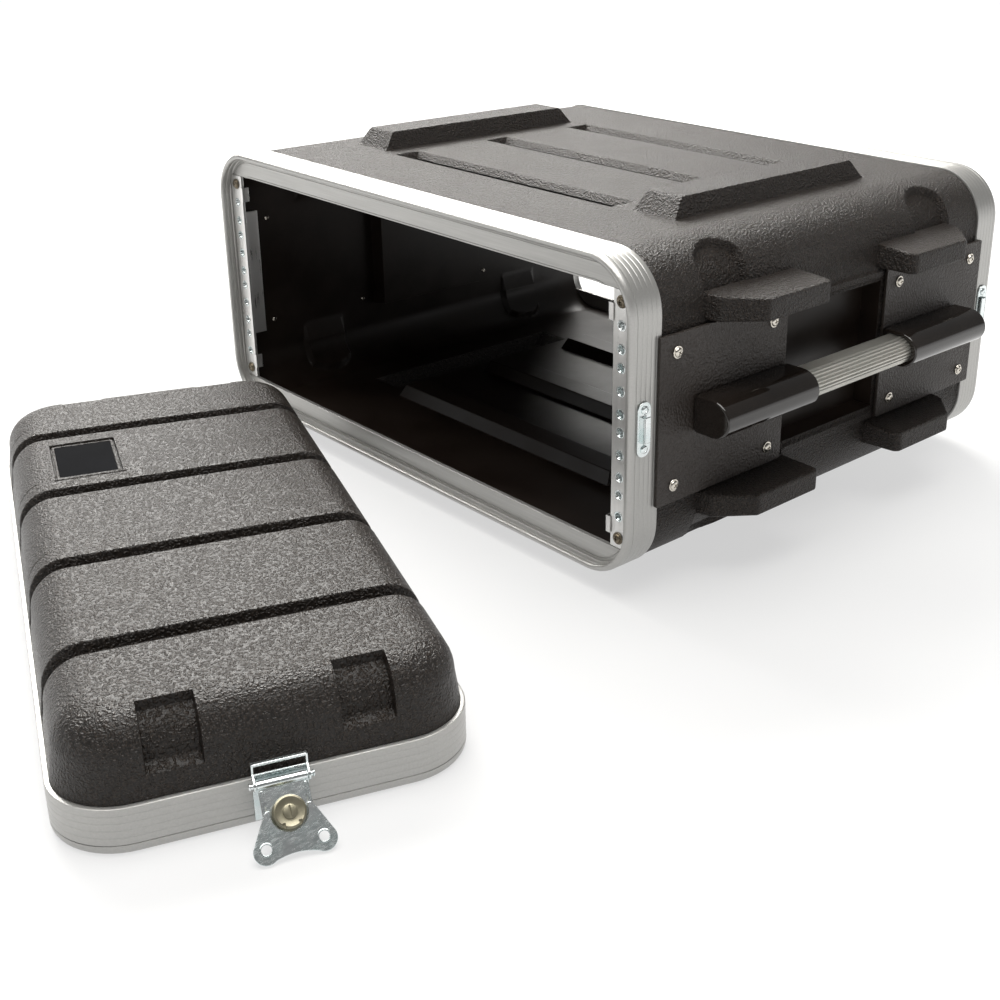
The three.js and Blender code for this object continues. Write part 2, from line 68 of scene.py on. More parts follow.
def turned(degrees, axis):
    return Matrix.Rotation(math.radians(degrees), 4, axis)


def mirrored(sign, axis):
    """The matrix that flips an axis where the sign is negative."""
    return Matrix.Scale(sign, 4, axis)


# ---- places, read from the frame
def corners(*nodes):
    """The lowest and highest corner of some CAD nodes, in millimetres."""
    boxes = [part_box(node) for node in nodes]
    low = Vector(min(b[0][i] for b in boxes) for i in range(3))
    high = Vector(max(b[1][i] for b in boxes) for i in range(3))
    return low / MM, high / MM


case_low, case_high = corners("front_frame", "rear_frame")
CASE_MIDDLE = (case_low + case_high) / 2
HALF_W, HALF_D, HALF_H = (case_high - case_low) / 2
CASE_AT = Matrix.Translation(CASE_MIDDLE * MM)

joints = {joint["name"]: joint for joint in frame["joints"]}
across = Vector(joints["far_latch_swing"]["axis"]).normalized()
if Vector(joints["far_latch_swing"]["pos_m"]).xy.dot(Vector((across.y, -across.x))) < 0:
    across = -across
LID_TURN = math.atan2(-across.x, across.y)
lid_low, lid_high = corners("lid_frame")
lid_middle = (lid_low + lid_high) / 2
LID_AT = at(lid_middle.x, lid_middle.y, 0) @ Matrix.Rotation(LID_TURN, 4, "Z")
LID_TOP = corners("lid_shell")[1].z

GAP = 0.3  # between neighbouring pieces
CORNER_R = 40  # outside of the frames
BAND_D = 28
BAND_T = 3
BEAD_T = 5
BEAD_BACK = 6.0  # where the rounded front edge ends and the ribs start
RIBS = 5
RIB_DEEP = 0.24
LID_RIB_DEEP = 0.2
CORNER_EASE = 0.03  # keeps the lid frame's round corners inside the CAD's faceted ones
FLANGE_Y = 8
FLANGE_T = 2.5
FLANGE_W = 21.5
RAIL_IN = 225
RAIL_OUT = 241.2
RAIL_HALF = 89.9
UNIT = 44.45
HOLE_OFFSETS = (6.35, 22.225, 38.1)
HOLE_X = 232.55
PLATE_X = HALF_W + GAP
PLATE_T = 2.5
FACING_X = Matrix(((0, 0, 1, 0), (1, 0, 0, 0), (0, 1, 0, 0), (0, 0, 0, 1)))  # lays X and Y on Y and Z


# ---- mesh helpers
def join_rows(bm, rows, close_rows=False, close_columns=False):
    """Quads between rows of equally many points; returns the rows of vertices."""
    grid = [[bm.verts.new(point) for point in row] for row in rows]
    count = len(grid[0])
    for i in range(len(grid) if close_rows else len(grid) - 1):
        a, b = grid[i], grid[(i + 1) % len(grid)]
        for j in range(count if close_columns else count - 1):
            k = (j + 1) % count
            bm.faces.new((a[j], a[k], b[k], b[j]))
    return grid


def closed_skin(rows):
    """A closed skin through closed rows, with the last row joined to the first."""
    bm = bmesh.new()
    join_rows(bm, rows, close_rows=True, close_columns=True)
    return tidy(bm)


def loft(rings):
    """A skin through closed rings of equally many points, with a flat cap on each end."""
    bm = bmesh.new()
    grid = join_rows(bm, rings, close_columns=True)
    bm.faces.new(reversed(grid[0]))
    bm.faces.new(grid[-1])
    return bm


def ring_at(radius, z, steps, x=0, y=0):
    """Points of a level circle."""
    angles = (2 * math.pi * i / steps for i in range(steps))
    return [Vector((x + radius * math.cos(a), y + radius * math.sin(a), z)) for a in angles]


def lathe(profile, steps=32):
    """A solid of revolution round Z from (radius, z) points that start and end on the axis."""
    bm = bmesh.new()
    first, *middle, last = profile
    grid = join_rows(bm, [ring_at(r, z, steps) for r, z in middle], close_columns=True)
    for (_, z), ring in ((first, grid[0]), (last, grid[-1])):
        tip = bm.verts.new((0, 0, z))
        for i in range(steps):
            bm.faces.new((tip, ring[i], ring[(i + 1) % steps]))
    return tidy(bm)


def tidy(bm):
    bmesh.ops.remove_doubles(bm, verts=bm.verts, dist=1e-4)
    bmesh.ops.recalc_face_normals(bm, faces=bm.faces)
    return bm


def bevel_all(bm, width, segments=2):
    sharp = [e for e in bm.edges if len(e.link_faces) == 2 and e.calc_face_angle(0) > math.radians(20)]
    bmesh.ops.bevel(bm, geom=sharp, offset=width, segments=segments, profile=0.5, affect="EDGES")


def box(low, high, bevel=0.4, segments=2):
    bm = bmesh.new()
    bmesh.ops.create_cube(bm, size=1)
    low, high = Vector(low), Vector(high)
    for v in bm.verts:
        v.co = Vector((low[i] + high[i]) / 2 + v.co[i] * (high[i] - low[i]) for i in range(3))
    bevel_all(bm, bevel, segments)
    return bm


def linked(name, data):
    """A new object in the scene."""
    o = bpy.data.objects.new(name, data)
    bpy.context.scene.collection.objects.link(o)
    return o


def poured(name, bm):
    """The bmesh as a mesh; the bmesh is freed."""
    mesh = bpy.data.meshes.new(name)
    bm.to_mesh(mesh)
    bm.free()
    return mesh


def evaluated(o):
    """A bmesh of an object with its curve settings or modifiers applied."""
    mesh = bpy.data.meshes.new_from_object(o.evaluated_get(bpy.context.evaluated_depsgraph_get()))
    bm = bmesh.new()
    bm.from_mesh(mesh)
    bpy.data.meshes.remove(mesh)
    return bm


def sheet_metal(outlines, thickness, bevel=0.25, resolution=1):
    """A flat sheet with holes and softened edges, its middle on z = 0: the first outline is its edge."""
    curve = bpy.data.curves.new("outline", "CURVE")
    curve.dimensions = "2D"
    curve.fill_mode = "BOTH"
    curve.extrude = thickness / 2 - bevel
    curve.bevel_depth = bevel
    curve.bevel_resolution = resolution
    curve.offset = -bevel
    for outline in outlines:
        spline = curve.splines.new("POLY")
        spline.points.add(len(outline) - 1)
        for point, (x, y) in zip(spline.points, outline):
            point.co = (x, y, 0, 1)
        spline.use_cyclic_u = True
    carrier = linked("outline", curve)
    bm = evaluated(carrier)
    bpy.data.objects.remove(carrier)
    bpy.data.curves.remove(curve)
    return tidy(bm)


def moved(bm, matrix):
    bm.transform(matrix)
    if matrix.determinant() < 0:
        bmesh.ops.reverse_faces(bm, faces=bm.faces)
    return bm


def joined(*parts):
    """One bmesh that holds all the parts, which are freed."""
    whole = bmesh.new()
    for part in parts:
        mesh = poured("part", part)
        whole.from_mesh(mesh)
        bpy.data.meshes.remove(mesh)
    return whole


def carved(bm, *cutters):
    """The solid less the cutters."""
    objects = [linked("carving", poured("carving", part)) for part in (bm, *cutters)]
    for cutter in objects[1:]:
        modifier = objects[0].modifiers.new("cut", "BOOLEAN")
        modifier.object = cutter
        modifier.operation = "DIFFERENCE"
        modifier.solver = "EXACT"
    result = evaluated(objects[0])
    for o in objects:
        bpy.data.objects.remove(o)
    return result


def finished(name, bm, place=Matrix.Identity(4), sharp=38):
    """A smooth mesh in metres, with sharp edges kept where faces meet at more than some degrees."""
    mesh = poured(name, bm)
    mesh.transform(place @ Matrix.Scale(MM, 4))
    mesh.shade_smooth()
    mesh.set_sharp_from_angle(angle=math.radians(sharp))
    return mesh


def piece(name, shape, place, body, material, replaces=(), sharp=38):
    """A finished piece from a bmesh, set in its place, or from a mesh that several pieces share."""
    mesh = shape
    if isinstance(shape, bmesh.types.BMesh):
        mesh = finished(name, shape, place, sharp)
        place = Matrix.Identity(4)
    o = linked(name, mesh)
    if not mesh.materials:
        for m in material if isinstance(material, (list, tuple)) else [material]:
            mesh.materials.append(m)
    weighted = o.modifiers.new("weighted", "WEIGHTED_NORMAL")
    weighted.keep_sharp = True
    o.matrix_world = place
    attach(o, body)
    if replaces:
        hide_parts(*replaces)


def lines(low, high, step, *marks):
    """Coordinates from low to high, at most step apart, with every mark among them."""
    stops = sorted({low, high, *(m for m in marks if low < m < high)})
    result = [stops[0]]
    for a, b in zip(stops, stops[1:]):
        count = max(1, math.ceil((b - a) / step - 1e-6))
        result += [a + (b - a) * i / count for i in range(1, count + 1)]
    return result


def arc(cx, cy, radius, start, end, steps):
    """Points on an arc from start to end, in degrees."""
    angles = [math.radians(start + (end - start) * i / steps) for i in range(steps + 1)]
    return [(cx + radius * math.cos(a), cy + radius * math.sin(a)) for a in angles]


def circle(cx, cy, radius, steps=20):
    return arc(cx, cy, radius, 0, 360, steps)[:-1]


def round_rect(x0, x1, y0, y1, radius, steps=5):
    return [
        *arc(x1 - radius, y1 - radius, radius, 0, 90, steps),
        *arc(x0 + radius, y1 - radius, radius, 90, 180, steps),
        *arc(x0 + radius, y0 + radius, radius, 180, 270, steps),
        *arc(x1 - radius, y0 + radius, radius, 270, 360, steps),
    ]


def smooth(t):
    t = min(max(t, 0), 1)
    return t * t * (3 - 2 * t)


# ---- materials
class Look:
    """A principled material with a few short ways to wire procedural detail into it."""

    def __init__(self, name, color, roughness, metallic=0.0, **values):
        self.material = bpy.data.materials.new(name)
        self.material.use_nodes = True
        self.nodes = self.material.node_tree.nodes
        self.links = self.material.node_tree.links
        self.shader = self.nodes["Principled BSDF"]
        self.shader.inputs["Base Color"].default_value = (*color, 1)
        self.shader.inputs["Roughness"].default_value = roughness
        self.shader.inputs["Metallic"].default_value = metallic
        for socket, value in values.items():
            self.shader.inputs[socket.replace("_", " ")].default_value = value
        self.place = self.nodes.new("ShaderNodeTexCoord").outputs["Object"]
        self.normal = None

    def node(self, kind, inputs=(), **settings):
        node = self.nodes.new("ShaderNode" + kind)
        for key, value in settings.items():
            setattr(node, key, value)
        for key, value in dict(inputs).items():
            if isinstance(value, bpy.types.NodeSocket):
                self.links.new(value, node.inputs[key])
            else:
                node.inputs[key].default_value = value
        return node

    def stretched(self, scale):
        return self.node("Mapping", {"Vector": self.place, "Scale": scale}).outputs["Vector"]

    def noise(self, scale, detail=4.0, rough=0.55, vector=None):
        inputs = {"Vector": vector or self.place, "Scale": scale, "Detail": detail, "Roughness": rough}
        return self.node("TexNoise", inputs).outputs["Fac"]

    def cells(self, scale, feature="F1", vector=None, smoothness=None):
        inputs = {"Vector": vector or self.place, "Scale": scale}
        node = self.node("TexVoronoi", inputs, feature=feature)
        if smoothness is not None:
            node.inputs["Smoothness"].default_value = smoothness
        return node.outputs["Distance"]

    def maths(self, operation, a, b=0.0):
        return self.node("Math", {0: a, 1: b}, operation=operation).outputs[0]

    def between(self, value, low, high, out_low, out_high):
        inputs = {"Value": value, "From Min": low, "From Max": high, "To Min": out_low, "To Max": out_high}
        return self.node("MapRange", inputs).outputs["Result"]

    def bump(self, height, distance, strength=1.0):
        inputs = {"Height": height, "Distance": distance, "Strength": strength}
        if self.normal:
            inputs["Normal"] = self.normal
        self.normal = self.node("Bump", inputs).outputs["Normal"]
        self.links.new(self.normal, self.shader.inputs["Normal"])

    def roughness(self, value, low, high, a=0.35, b=0.65):
        self.links.new(self.between(value, a, b, low, high), self.shader.inputs["Roughness"])

    def colour(self, value, *stops):
        ramp = self.node("ValToRGB", {"Fac": value})
        while len(ramp.color_ramp.elements) < len(stops):
            ramp.color_ramp.elements.new(0.5)
        for element, (position, color) in zip(ramp.color_ramp.elements, stops):
            element.position = position
            element.color = (*color, 1)
        return ramp.outputs["Color"]

    def paint(self, color):
        self.links.new(color, self.shader.inputs["Base Color"])

    def weighed(self, a, a_share, b, b_share):
        """The sum of two values, each times its share."""
        return self.maths("ADD", self.maths("MULTIPLY", a, a_share), self.maths("MULTIPLY", b, b_share))

    def mixed(self, factor, a, b):
        node = self.node("Mix", {"Factor": factor}, data_type="RGBA")
        for socket, value in ((node.inputs[6], a), (node.inputs[7], b)):
            if isinstance(value, bpy.types.NodeSocket):
                self.links.new(value, socket)
            else:
                socket.default_value = (*value, 1)
        return node.outputs[2]


def pebbled(name, color, scale, depth, roughness, sand, specular):
    """Moulded ABS: a leathery pebble grain with sand between the pebbles; the low ground between the pebbles
    carries painted shade and the raised sand grains carry painted highlights.
    """
    look = Look(name, color, roughness[0], Specular_IOR_Level=specular)
    drift = look.node("TexNoise", {"Vector": look.place, "Scale": scale * 0.6}).outputs["Color"]
    pebbles = look.cells(scale, "SMOOTH_F1", look.mixed(0.004, look.place, drift), 0.35)
    furrow = look.between(pebbles, 0.15, 0.6, 1, 0)
    fine = look.noise(scale * 1.8, 3, 0.6)
    look.bump(look.maths("ADD", furrow, look.maths("MULTIPLY", fine, sand)), depth)
    broad = look.noise(9, 3)
    look.roughness(look.weighed(broad, 0.5, fine, 0.5), *roughness)
    # Three copies of the colour: the darkest is painted shade for the low ground between the pebbles, the
    # middle one is a lighter tone that varies at random, and the brightest is a painted highlight for the
    # raised sand grains.
    dark, light, speckle = (tuple(c * k for c in color) for k in (0.4, 1.3, 2.2))
    # Painted shade: the low ground between the pebbles, where the bump is lowest, takes the dark copy.
    skin = look.mixed(furrow, dark, look.colour(broad, (0.35, color), (0.65, light)))
    # Painted highlight: the brightest copy is mixed in where the fine noise raises sand grains in the bump.
    look.paint(look.mixed(look.between(fine, 0.5, 0.68, 0, 1), skin, speckle))
    return look.material


def glossy(name, color, roughness, scratches=0.00002, coat=0.0, specular=0.5):
    """Smooth moulded plastic, with faint waves and rubbed patches."""
    look = Look(name, color, roughness[0], Coat_Weight=coat, Coat_Roughness=0.08,
                Specular_IOR_Level=specular)
    look.bump(look.noise(26, 3), 0.0006, 0.25)
    look.bump(look.noise(420, 2), scratches, 0.6)
    rub = look.noise(14, 5, 0.65)
    look.roughness(rub, *roughness)
    light = tuple(c * 1.8 + 0.003 for c in color)
    look.paint(look.colour(rub, (0.4, color), (0.75, light)))
    return look.material


def metal(name, color, roughness, metallic, along, depth, tint, tint_scale=40):
    """Drawn, plated or brushed metal: streaks along one way, cloudy tone and a second tint."""
    look = Look(name, color, roughness[0], metallic)
    streaks = look.noise(900, 3, 0.6, look.stretched(along))
    cloud = look.noise(tint_scale, 4, 0.6)
    look.bump(streaks, depth, 0.7)
    look.roughness(look.weighed(streaks, 0.6, cloud, 0.4), *roughness)
    dark = tuple(c * 0.9 for c in color)
    clouded = look.colour(cloud, (0.35, color), (0.7, tint))
    look.paint(look.mixed(look.between(streaks, 0.35, 0.65, 0, 0.5), clouded, dark))
    return look.material


def powder_coat(name, color):
    look = Look(name, color, 0.5)
    orange_peel = look.noise(620, 2, 0.5)
    speckle = look.cells(520)
    look.bump(look.maths("ADD", orange_peel, look.maths("MULTIPLY", speckle, 0.6)), 0.0008)
    cloud = look.noise(12, 4)
    look.roughness(look.weighed(cloud, 0.6, orange_peel, 0.4), 0.42, 0.6)
    light = tuple(c * 1.35 for c in color)
    look.paint(look.colour(orange_peel, (0.35, color), (0.7, light)))
    return look.material


ABS = pebbled("abs_pebbled", (0.0150, 0.0105, 0.0075), 540, 0.00062, (0.3, 0.42), 0.8, 0.36)
ABS_FINE = pebbled("abs_fine_grain", (0.0200, 0.0142, 0.0105), 540, 0.0014, (0.40, 0.52), 1.1, 0.34)
ABS_GLOSS = glossy("abs_inside_gloss", (0.0085, 0.0055, 0.0040), (0.28, 0.42), specular=0.2)
ALUMINIUM = metal("frame_anodised", (0.41, 0.405, 0.39), (0.3, 0.42), 0.7, (0.02, 1, 1), 0.000006,
                  (0.45, 0.445, 0.43), 12)
TUBE = metal("tube_drawn", (0.56, 0.545, 0.50), (0.28, 0.42), 0.85, (1, 0.02, 1), 0.00003,
             (0.46, 0.46, 0.42))
RAIL = metal("rail_zinc_plate", (0.74, 0.73, 0.71), (0.25, 0.42), 0.85, (1, 1, 0.03), 0.00003,
             (0.66, 0.66, 0.65))
PLATE = powder_coat("plate_powder_coat", (0.0175, 0.0125, 0.0095))
CAP = glossy("cap_gloss_black", (0.0085, 0.0062, 0.0048), (0.05, 0.12), 0.000006, 0.3)
NICKEL = metal("screw_nickel", (0.66, 0.62, 0.55), (0.18, 0.3), 1.0, (1, 1, 1), 0.00001,
               (0.55, 0.52, 0.47), 200)
DARK_STEEL = metal("screw_dark_zinc", (0.16, 0.14, 0.11), (0.28, 0.45), 1.0, (1, 1, 1), 0.00002,
                   (0.22, 0.18, 0.12), 300)
ZINC = metal("zinc_clear_passivated", (0.80, 0.83, 0.83), (0.16, 0.32), 1.0, (1, 0.2, 1), 0.00001,
             (0.62, 0.72, 0.72), 60)
OLIVE = metal("rotor_olive_zinc", (0.30, 0.28, 0.20), (0.3, 0.45), 0.9, (1, 1, 1), 0.00002,
              (0.36, 0.33, 0.25), 180)
BADGE = glossy("badge_blank", (0.004, 0.0042, 0.005), (0.85, 0.95), 0.00001, specular=0.03)


# ---- aluminium frames
def band_profile(depth):
    """(inset, y) points of a frame's outside from its back: flat-topped ribs with fine valleys, and the
    rounded front edge round to the inside."""
    back = BAND_D - 0.3
    pitch = (back - BEAD_BACK) / RIBS
    points = [(BAND_T, BAND_D), (0.9, BAND_D)]
    for k in range(RIBS):
        for t in (0, 0.07, 0.16, 0.32, 0.68, 0.84, 0.93):
            points.append((depth * abs(2 * t - 1) ** 5, back - (k + t) * pitch))
    return points + [
        (0.55, BEAD_BACK), (0.12, 5.6), (0, 4.8), (0.03, 3.7), (0.32, 2.3), (0.95, 1.15), (1.75, 0.35),
        (2.7, 0.0), (3.6, 0.0), (4.3, 0.3), (4.8, 1.0), (5.0, 2.0),
    ]


def flange_limit(angle):
    """How far in the flange may reach at an angle of the corner, so that it leaves room for the rail."""
    seat_x, seat_z = RAIL_OUT + 0.25 - (HALF_W - CORNER_R), RAIL_HALF + 0.3 - (HALF_H - CORNER_R)
    reach = min(seat_x / max(math.cos(angle), 1e-6), seat_z / max(math.sin(angle), 1e-6))
    return min(max(CORNER_R - reach, BEAD_T + 0.1), FLANGE_W)


def sweep_corners(profile_at, corner_steps=14):
    """A closed skin: (inset, y) profiles carried round the rounded rectangle of the frames."""
    rows = []
    for quarter, (sx, sz) in enumerate(((1, 1), (-1, 1), (-1, -1), (1, -1))):
        middle = Vector((sx * (HALF_W - CORNER_R), 0, sz * (HALF_H - CORNER_R)))
        for i in range(corner_steps + 1):
            a = (quarter + i / corner_steps) * math.pi / 2
            outward = Vector((math.cos(a), 0, math.sin(a)))
            from_side = math.atan2(abs(math.sin(a)), abs(math.cos(a)))
            profile = profile_at(from_side)
            rows.append([middle + outward * (CORNER_R - inset) + Y * y for inset, y in profile])
    return closed_skin(rows)


def case_frame_profile(angle):
    limit = flange_limit(angle)
    inner = [
        (5.0, 3.0), (4.55, 3.3), (4.55, 4.1), (5.0, 4.4), (5.0, 7.5), (5.5, FLANGE_Y), (7.6, FLANGE_Y),
        (7.8, FLANGE_Y + 0.5), (8.5, FLANGE_Y + 0.5), (8.7, FLANGE_Y), (14.0, FLANGE_Y),
        (FLANGE_W - 1.6, FLANGE_Y), (FLANGE_W - 1.3, FLANGE_Y - 0.5), (FLANGE_W - 0.3, FLANGE_Y - 0.5),
        (FLANGE_W, FLANGE_Y), (FLANGE_W, FLANGE_Y + FLANGE_T),
    ]
    inner = [(min(inset, limit), y) for inset, y in inner]
    return band_profile(RIB_DEEP) + inner + [(BAND_T, FLANGE_Y + FLANGE_T)]


def lid_frame_profile(_):
    inner = [
        (5.0, FLANGE_Y - 2.5), (5.5, FLANGE_Y - 2.5), (9.0, FLANGE_Y - 2.5), (9.0, FLANGE_Y),
        (BAND_T, FLANGE_Y),
    ]
    return [(inset + CORNER_EASE, y) for inset, y in band_profile(LID_RIB_DEEP) + inner]


def make_frames():
    for end, turn in (("front", 0), ("rear", 180)):
        place = CASE_AT @ turned(turn, "Z") @ at(0, -HALF_D, 0)
        piece(end + "_extrusion", sweep_corners(case_frame_profile), place, "case",
              ALUMINIUM, [end + "_frame"])
    piece("lid_extrusion", sweep_corners(lid_frame_profile), LID_AT @ turned(90, "X"), "lid",
          ALUMINIUM, ["lid_frame"])


# ---- moulded body
SKIN = 1.2  # the skin's inset between the bands, from the outside of the frames
UNDER = 3.3  # its inset under the bands
WALL = 4
SKIN_END = HALF_D - BAND_D - GAP
SHELL_END = HALF_D - FLANGE_Y - FLANGE_T - GAP
BAR_X = 167
BAR_HALF = (21, 108)
BAR_TOP_HALF = (15, 94)
BAR_RISE = 13 + SKIN
GROOVES = (-98, 0, 98)
GROOVE_HALF = (129, 13)
GROOVE_FLOOR_HALF = (125, 6)
GROOVE_DEEP = 6
POCKET_HALF = (56, 50)
POCKET_FLOOR_HALF = (55, 49)
POCKET_DEEP = HALF_W - SKIN - 232.2
INNER_BAR_HALF = (17, BAR_HALF[1] - 4)  # the INNER sizes are of the same relief seen from inside
INNER_BAR_TOP_HALF = (11, 90)
INNER_POCKET_HALF = (60, 54)
INNER_POCKET_FLOOR_HALF = (58, 52)
INNER_POCKET_X = 228.2
POCKET_GLOSS_X = 246  # the pocket is glossy further in than this
BLOCK_OUT = 281
LEDGE = {"y": 55.5, "z0": 52, "z1": 60, "rise": 2.4}
SCOOP = {"y": 119, "half": 22, "deep": 5.0}


def scoop_depth(angle, y):
    """How far the two hollows in each long edge are sunk; the angle is from the side, in radians."""
    off = abs(abs(y) - SCOOP["y"]) / SCOOP["half"]
    lip = math.radians(66 - 20 * off * off)
    return SCOOP["deep"] * smooth((1 - off) * SCOOP["half"] / 2.6) * smooth((lip - angle) / math.radians(6))


def body_stations():
    """Stops round the body: a corner's middle, and the outward direction or a stop on a straight side."""
    cx, cz = HALF_W - CORNER_R, HALF_H - CORNER_R
    marks = [POCKET_HALF[1], INNER_POCKET_HALF[1], LEDGE["z0"], LEDGE["z1"]]
    sides = lines(-cz, cz, 12, *marks, *(-m for m in marks))
    marks = [GROOVE_HALF[0], GROOVE_HALF[0] + WALL]
    marks += [BAR_X + s * half[0] for half in (BAR_HALF, INNER_BAR_HALF) for s in (-1, 1)]
    tops = lines(-cx, cx, 13, *marks, *(-m for m in marks))
    corner = [math.radians(a) for a in range(3, 90, 3)]
    stations = []
    for sx, sz, first in ((1, 1, 0), (-1, 1, 1), (-1, -1, 2), (1, -1, 3)):
        if sx == sz:
            stations += [(Vector((sx * cx, 0, sx * z)), sx * X) for z in sides]
        else:
            stations += [(Vector((sx * x, 0, sz * cz)), sz * Z) for x in tops]
        middle = Vector((sx * cx, 0, sz * cz))
        for a in corner:
            turn = first * math.pi / 2 + a
            stations.append((middle, Vector((math.cos(turn), 0, math.sin(turn)))))
    return stations


def body_section():
    """(inset, y) stops from the front, over the outside to the rear and back along the inside."""
    scoop_marks = [s * (SCOOP["y"] + d) for s in (-1, 1) for d in range(-23, 24, 2)]
    outer_marks = [s * y for s in (-1, 1) for y in (BAR_HALF[1], POCKET_HALF[0], LEDGE["y"])]
    outer_marks += [g + s * GROOVE_HALF[1] for g in GROOVES for s in (-1, 1)]
    outer = lines(-SKIN_END + 0.8, SKIN_END - 0.8, 12, *outer_marks, *scoop_marks)
    inner_marks = [s * y for s in (-1, 1) for y in (INNER_POCKET_HALF[0], INNER_BAR_HALF[1], 165, 187)]
    inner_marks += [g + s * (GROOVE_HALF[1] + WALL) for g in GROOVES for s in (-1, 1)]
    inner = lines(-SHELL_END, SHELL_END, 12, *inner_marks, *scoop_marks)
    edge = [(UNDER, -SKIN_END), (SKIN + 0.7, -SKIN_END), (SKIN + 0.2, -SKIN_END + 0.25)]
    section = edge + [(SKIN, y) for y in outer] + [(inset, -y) for inset, y in reversed(edge)]
    section += [(UNDER, SHELL_END)] + [(UNDER + WALL, y) for y in reversed(inner)]
    return section + [(UNDER, -SHELL_END)]


def emboss(bm, middle, half, direction, rings):
    """Raises or sinks a window of a gridded skin: each ring is (half sizes, rise), the last is filled."""
    middle, half = Vector(middle), Vector(half)
    window = [f for f in bm.faces if all(abs(c) < h for c, h in zip(f.calc_center_median() - middle, half))]
    inside = set(window)
    border = {e for f in window for e in f.edges if sum(g in inside for g in e.link_faces) == 1}
    links = {}
    for f in window:
        for loop in f.loops:
            if loop.edge in border:
                links[loop.vert] = loop.link_loop_next.vert
    start = next(iter(links))
    ring = [start]
    while links[ring[-1]] is not start:
        ring.append(links[ring[-1]])
    bmesh.ops.delete(bm, geom=window, context="FACES")
    flat = [i for i in range(3) if abs(direction[i]) < 0.5]
    rest = [v.co - middle for v in ring]
    for sizes, rise in rings:
        scale = Vector((1, 1, 1))
        for i, size in zip(flat, sizes):
            scale[i] = size / half[i]
        start = middle + direction * rise
        upper = [bm.verts.new(start + Vector(a * b for a, b in zip(p, scale))) for p in rest]
        for i in range(len(ring)):
            k = (i + 1) % len(ring)
            bm.faces.new((ring[i], ring[k], upper[k], upper[i]))
        ring = upper
    bm.faces.new(ring)


def soft_bank(top, floor, rise, edge=0.8):
    """Rings of a bank from a window's edge to its far level, softened where it starts and ends."""
    run = [t - f for t, f in zip(top, floor)]

    def ring(t, level):
        return tuple(a - r * t for a, r in zip(top, run)), level

    e = min(edge / abs(rise), 0.4)
    return [ring(0.35 * e, rise * 0.06 * e), ring(e, rise * 0.6 * e), ring(1 - e, rise * (1 - 0.6 * e)),
            ring(1 - 0.35 * e, rise * (1 - 0.06 * e)), ring(1, rise)]


def body_skin():
    bm = bmesh.new()
    rows = []
    for middle, outward in body_stations():
        straight = abs(outward.x) > 0.999 or abs(outward.z) > 0.999
        angle = 0 if straight and abs(outward.x) > 0.9 else math.atan2(abs(outward.z), abs(outward.x))
        near_corner = abs(middle.z) > HALF_H - CORNER_R - 1
        row = []
        for inset, y in body_section():
            reach = CORNER_R - inset
            if inset in (SKIN, UNDER + WALL) and near_corner and not (straight and abs(outward.z) > 0.9):
                reach -= scoop_depth(angle, y)
            row.append(middle + outward * reach + Y * y)
        rows.append(row)
    join_rows(bm, rows, close_rows=True, close_columns=True)
    bmesh.ops.remove_doubles(bm, verts=bm.verts, dist=1e-3)
    bmesh.ops.recalc_face_normals(bm, faces=bm.faces)
    for face in bm.faces:
        c = face.calc_center_median()
        depth = max(abs(c.x) - HALF_W, abs(c.z) - HALF_H)
        corner = Vector((max(abs(c.x) - HALF_W + CORNER_R, 0), max(abs(c.z) - HALF_H + CORNER_R, 0)))
        inset = CORNER_R - corner.length if min(corner) > 0 else -depth
        face.material_index = 1 if inset > UNDER + WALL - 0.2 and face.normal.dot(c) < 0 else 0
    return bm


def body_relief(bm):
    surface = HALF_H - SKIN
    inner = HALF_H - UNDER - WALL
    for up in (-1, 1):
        for side in (-1, 1):
            middle = (side * BAR_X, 0, up * surface)
            emboss(bm, middle, (*BAR_HALF, 1), up * Z, soft_bank(BAR_HALF, BAR_TOP_HALF, BAR_RISE, 3.0))
            emboss(bm, (side * BAR_X, 0, up * inner), (*INNER_BAR_HALF, 1), up * Z,
                   soft_bank(INNER_BAR_HALF, INNER_BAR_TOP_HALF, 10, 1.6))
        for y in GROOVES:
            emboss(bm, (0, y, up * surface), (*GROOVE_HALF, 1), -up * Z,
                   soft_bank(GROOVE_HALF, GROOVE_FLOOR_HALF, GROOVE_DEEP, 1.2))
            base = (GROOVE_HALF[0] + WALL, GROOVE_HALF[1] + WALL)
            top = (GROOVE_FLOOR_HALF[0] + WALL, GROOVE_FLOOR_HALF[1] + WALL)
            emboss(bm, (0, y, up * inner), (*base, 1), -up * Z, soft_bank(base, top, GROOVE_DEEP + 4, 1.6))
    for side in (-1, 1):
        wall = HALF_W - SKIN
        emboss(bm, (side * wall, 0, 0), (1, *POCKET_HALF), -side * X,
               soft_bank(POCKET_HALF, POCKET_FLOOR_HALF, POCKET_DEEP, 1.0))
        for up in (-1, 1):
            z = (LEDGE["z0"] + LEDGE["z1"]) / 2
            half = (LEDGE["y"], (LEDGE["z1"] - LEDGE["z0"]) / 2)
            emboss(bm, (side * wall, 0, up * z), (1, *half), side * X,
                   soft_bank(half, (half[0] - 0.6, half[1] - 2.2), LEDGE["rise"], 0.7))
        inner_wall = HALF_W - UNDER - WALL
        emboss(bm, (side * inner_wall, 0, 0), (1, *INNER_POCKET_HALF), -side * X,
               soft_bank(INNER_POCKET_HALF, INNER_POCKET_FLOOR_HALF, inner_wall - INNER_POCKET_X, 1.6))
    for face in bm.faces:
        c = face.calc_center_median()
        if abs(c.x) < POCKET_GLOSS_X and abs(c.y) < POCKET_HALF[0] + 0.5 and abs(c.z) < POCKET_HALF[1] + 0.5:
            face.material_index = 1
        if abs(c.y) < SHELL_END - 1 and abs(c.x) < HALF_W - UNDER - WALL + 0.5 and abs(c.z) < inner + 0.5:
            if face.normal.dot(Vector((c.x, 0, c.z))) < 0:
                face.material_index = 1
    return bm


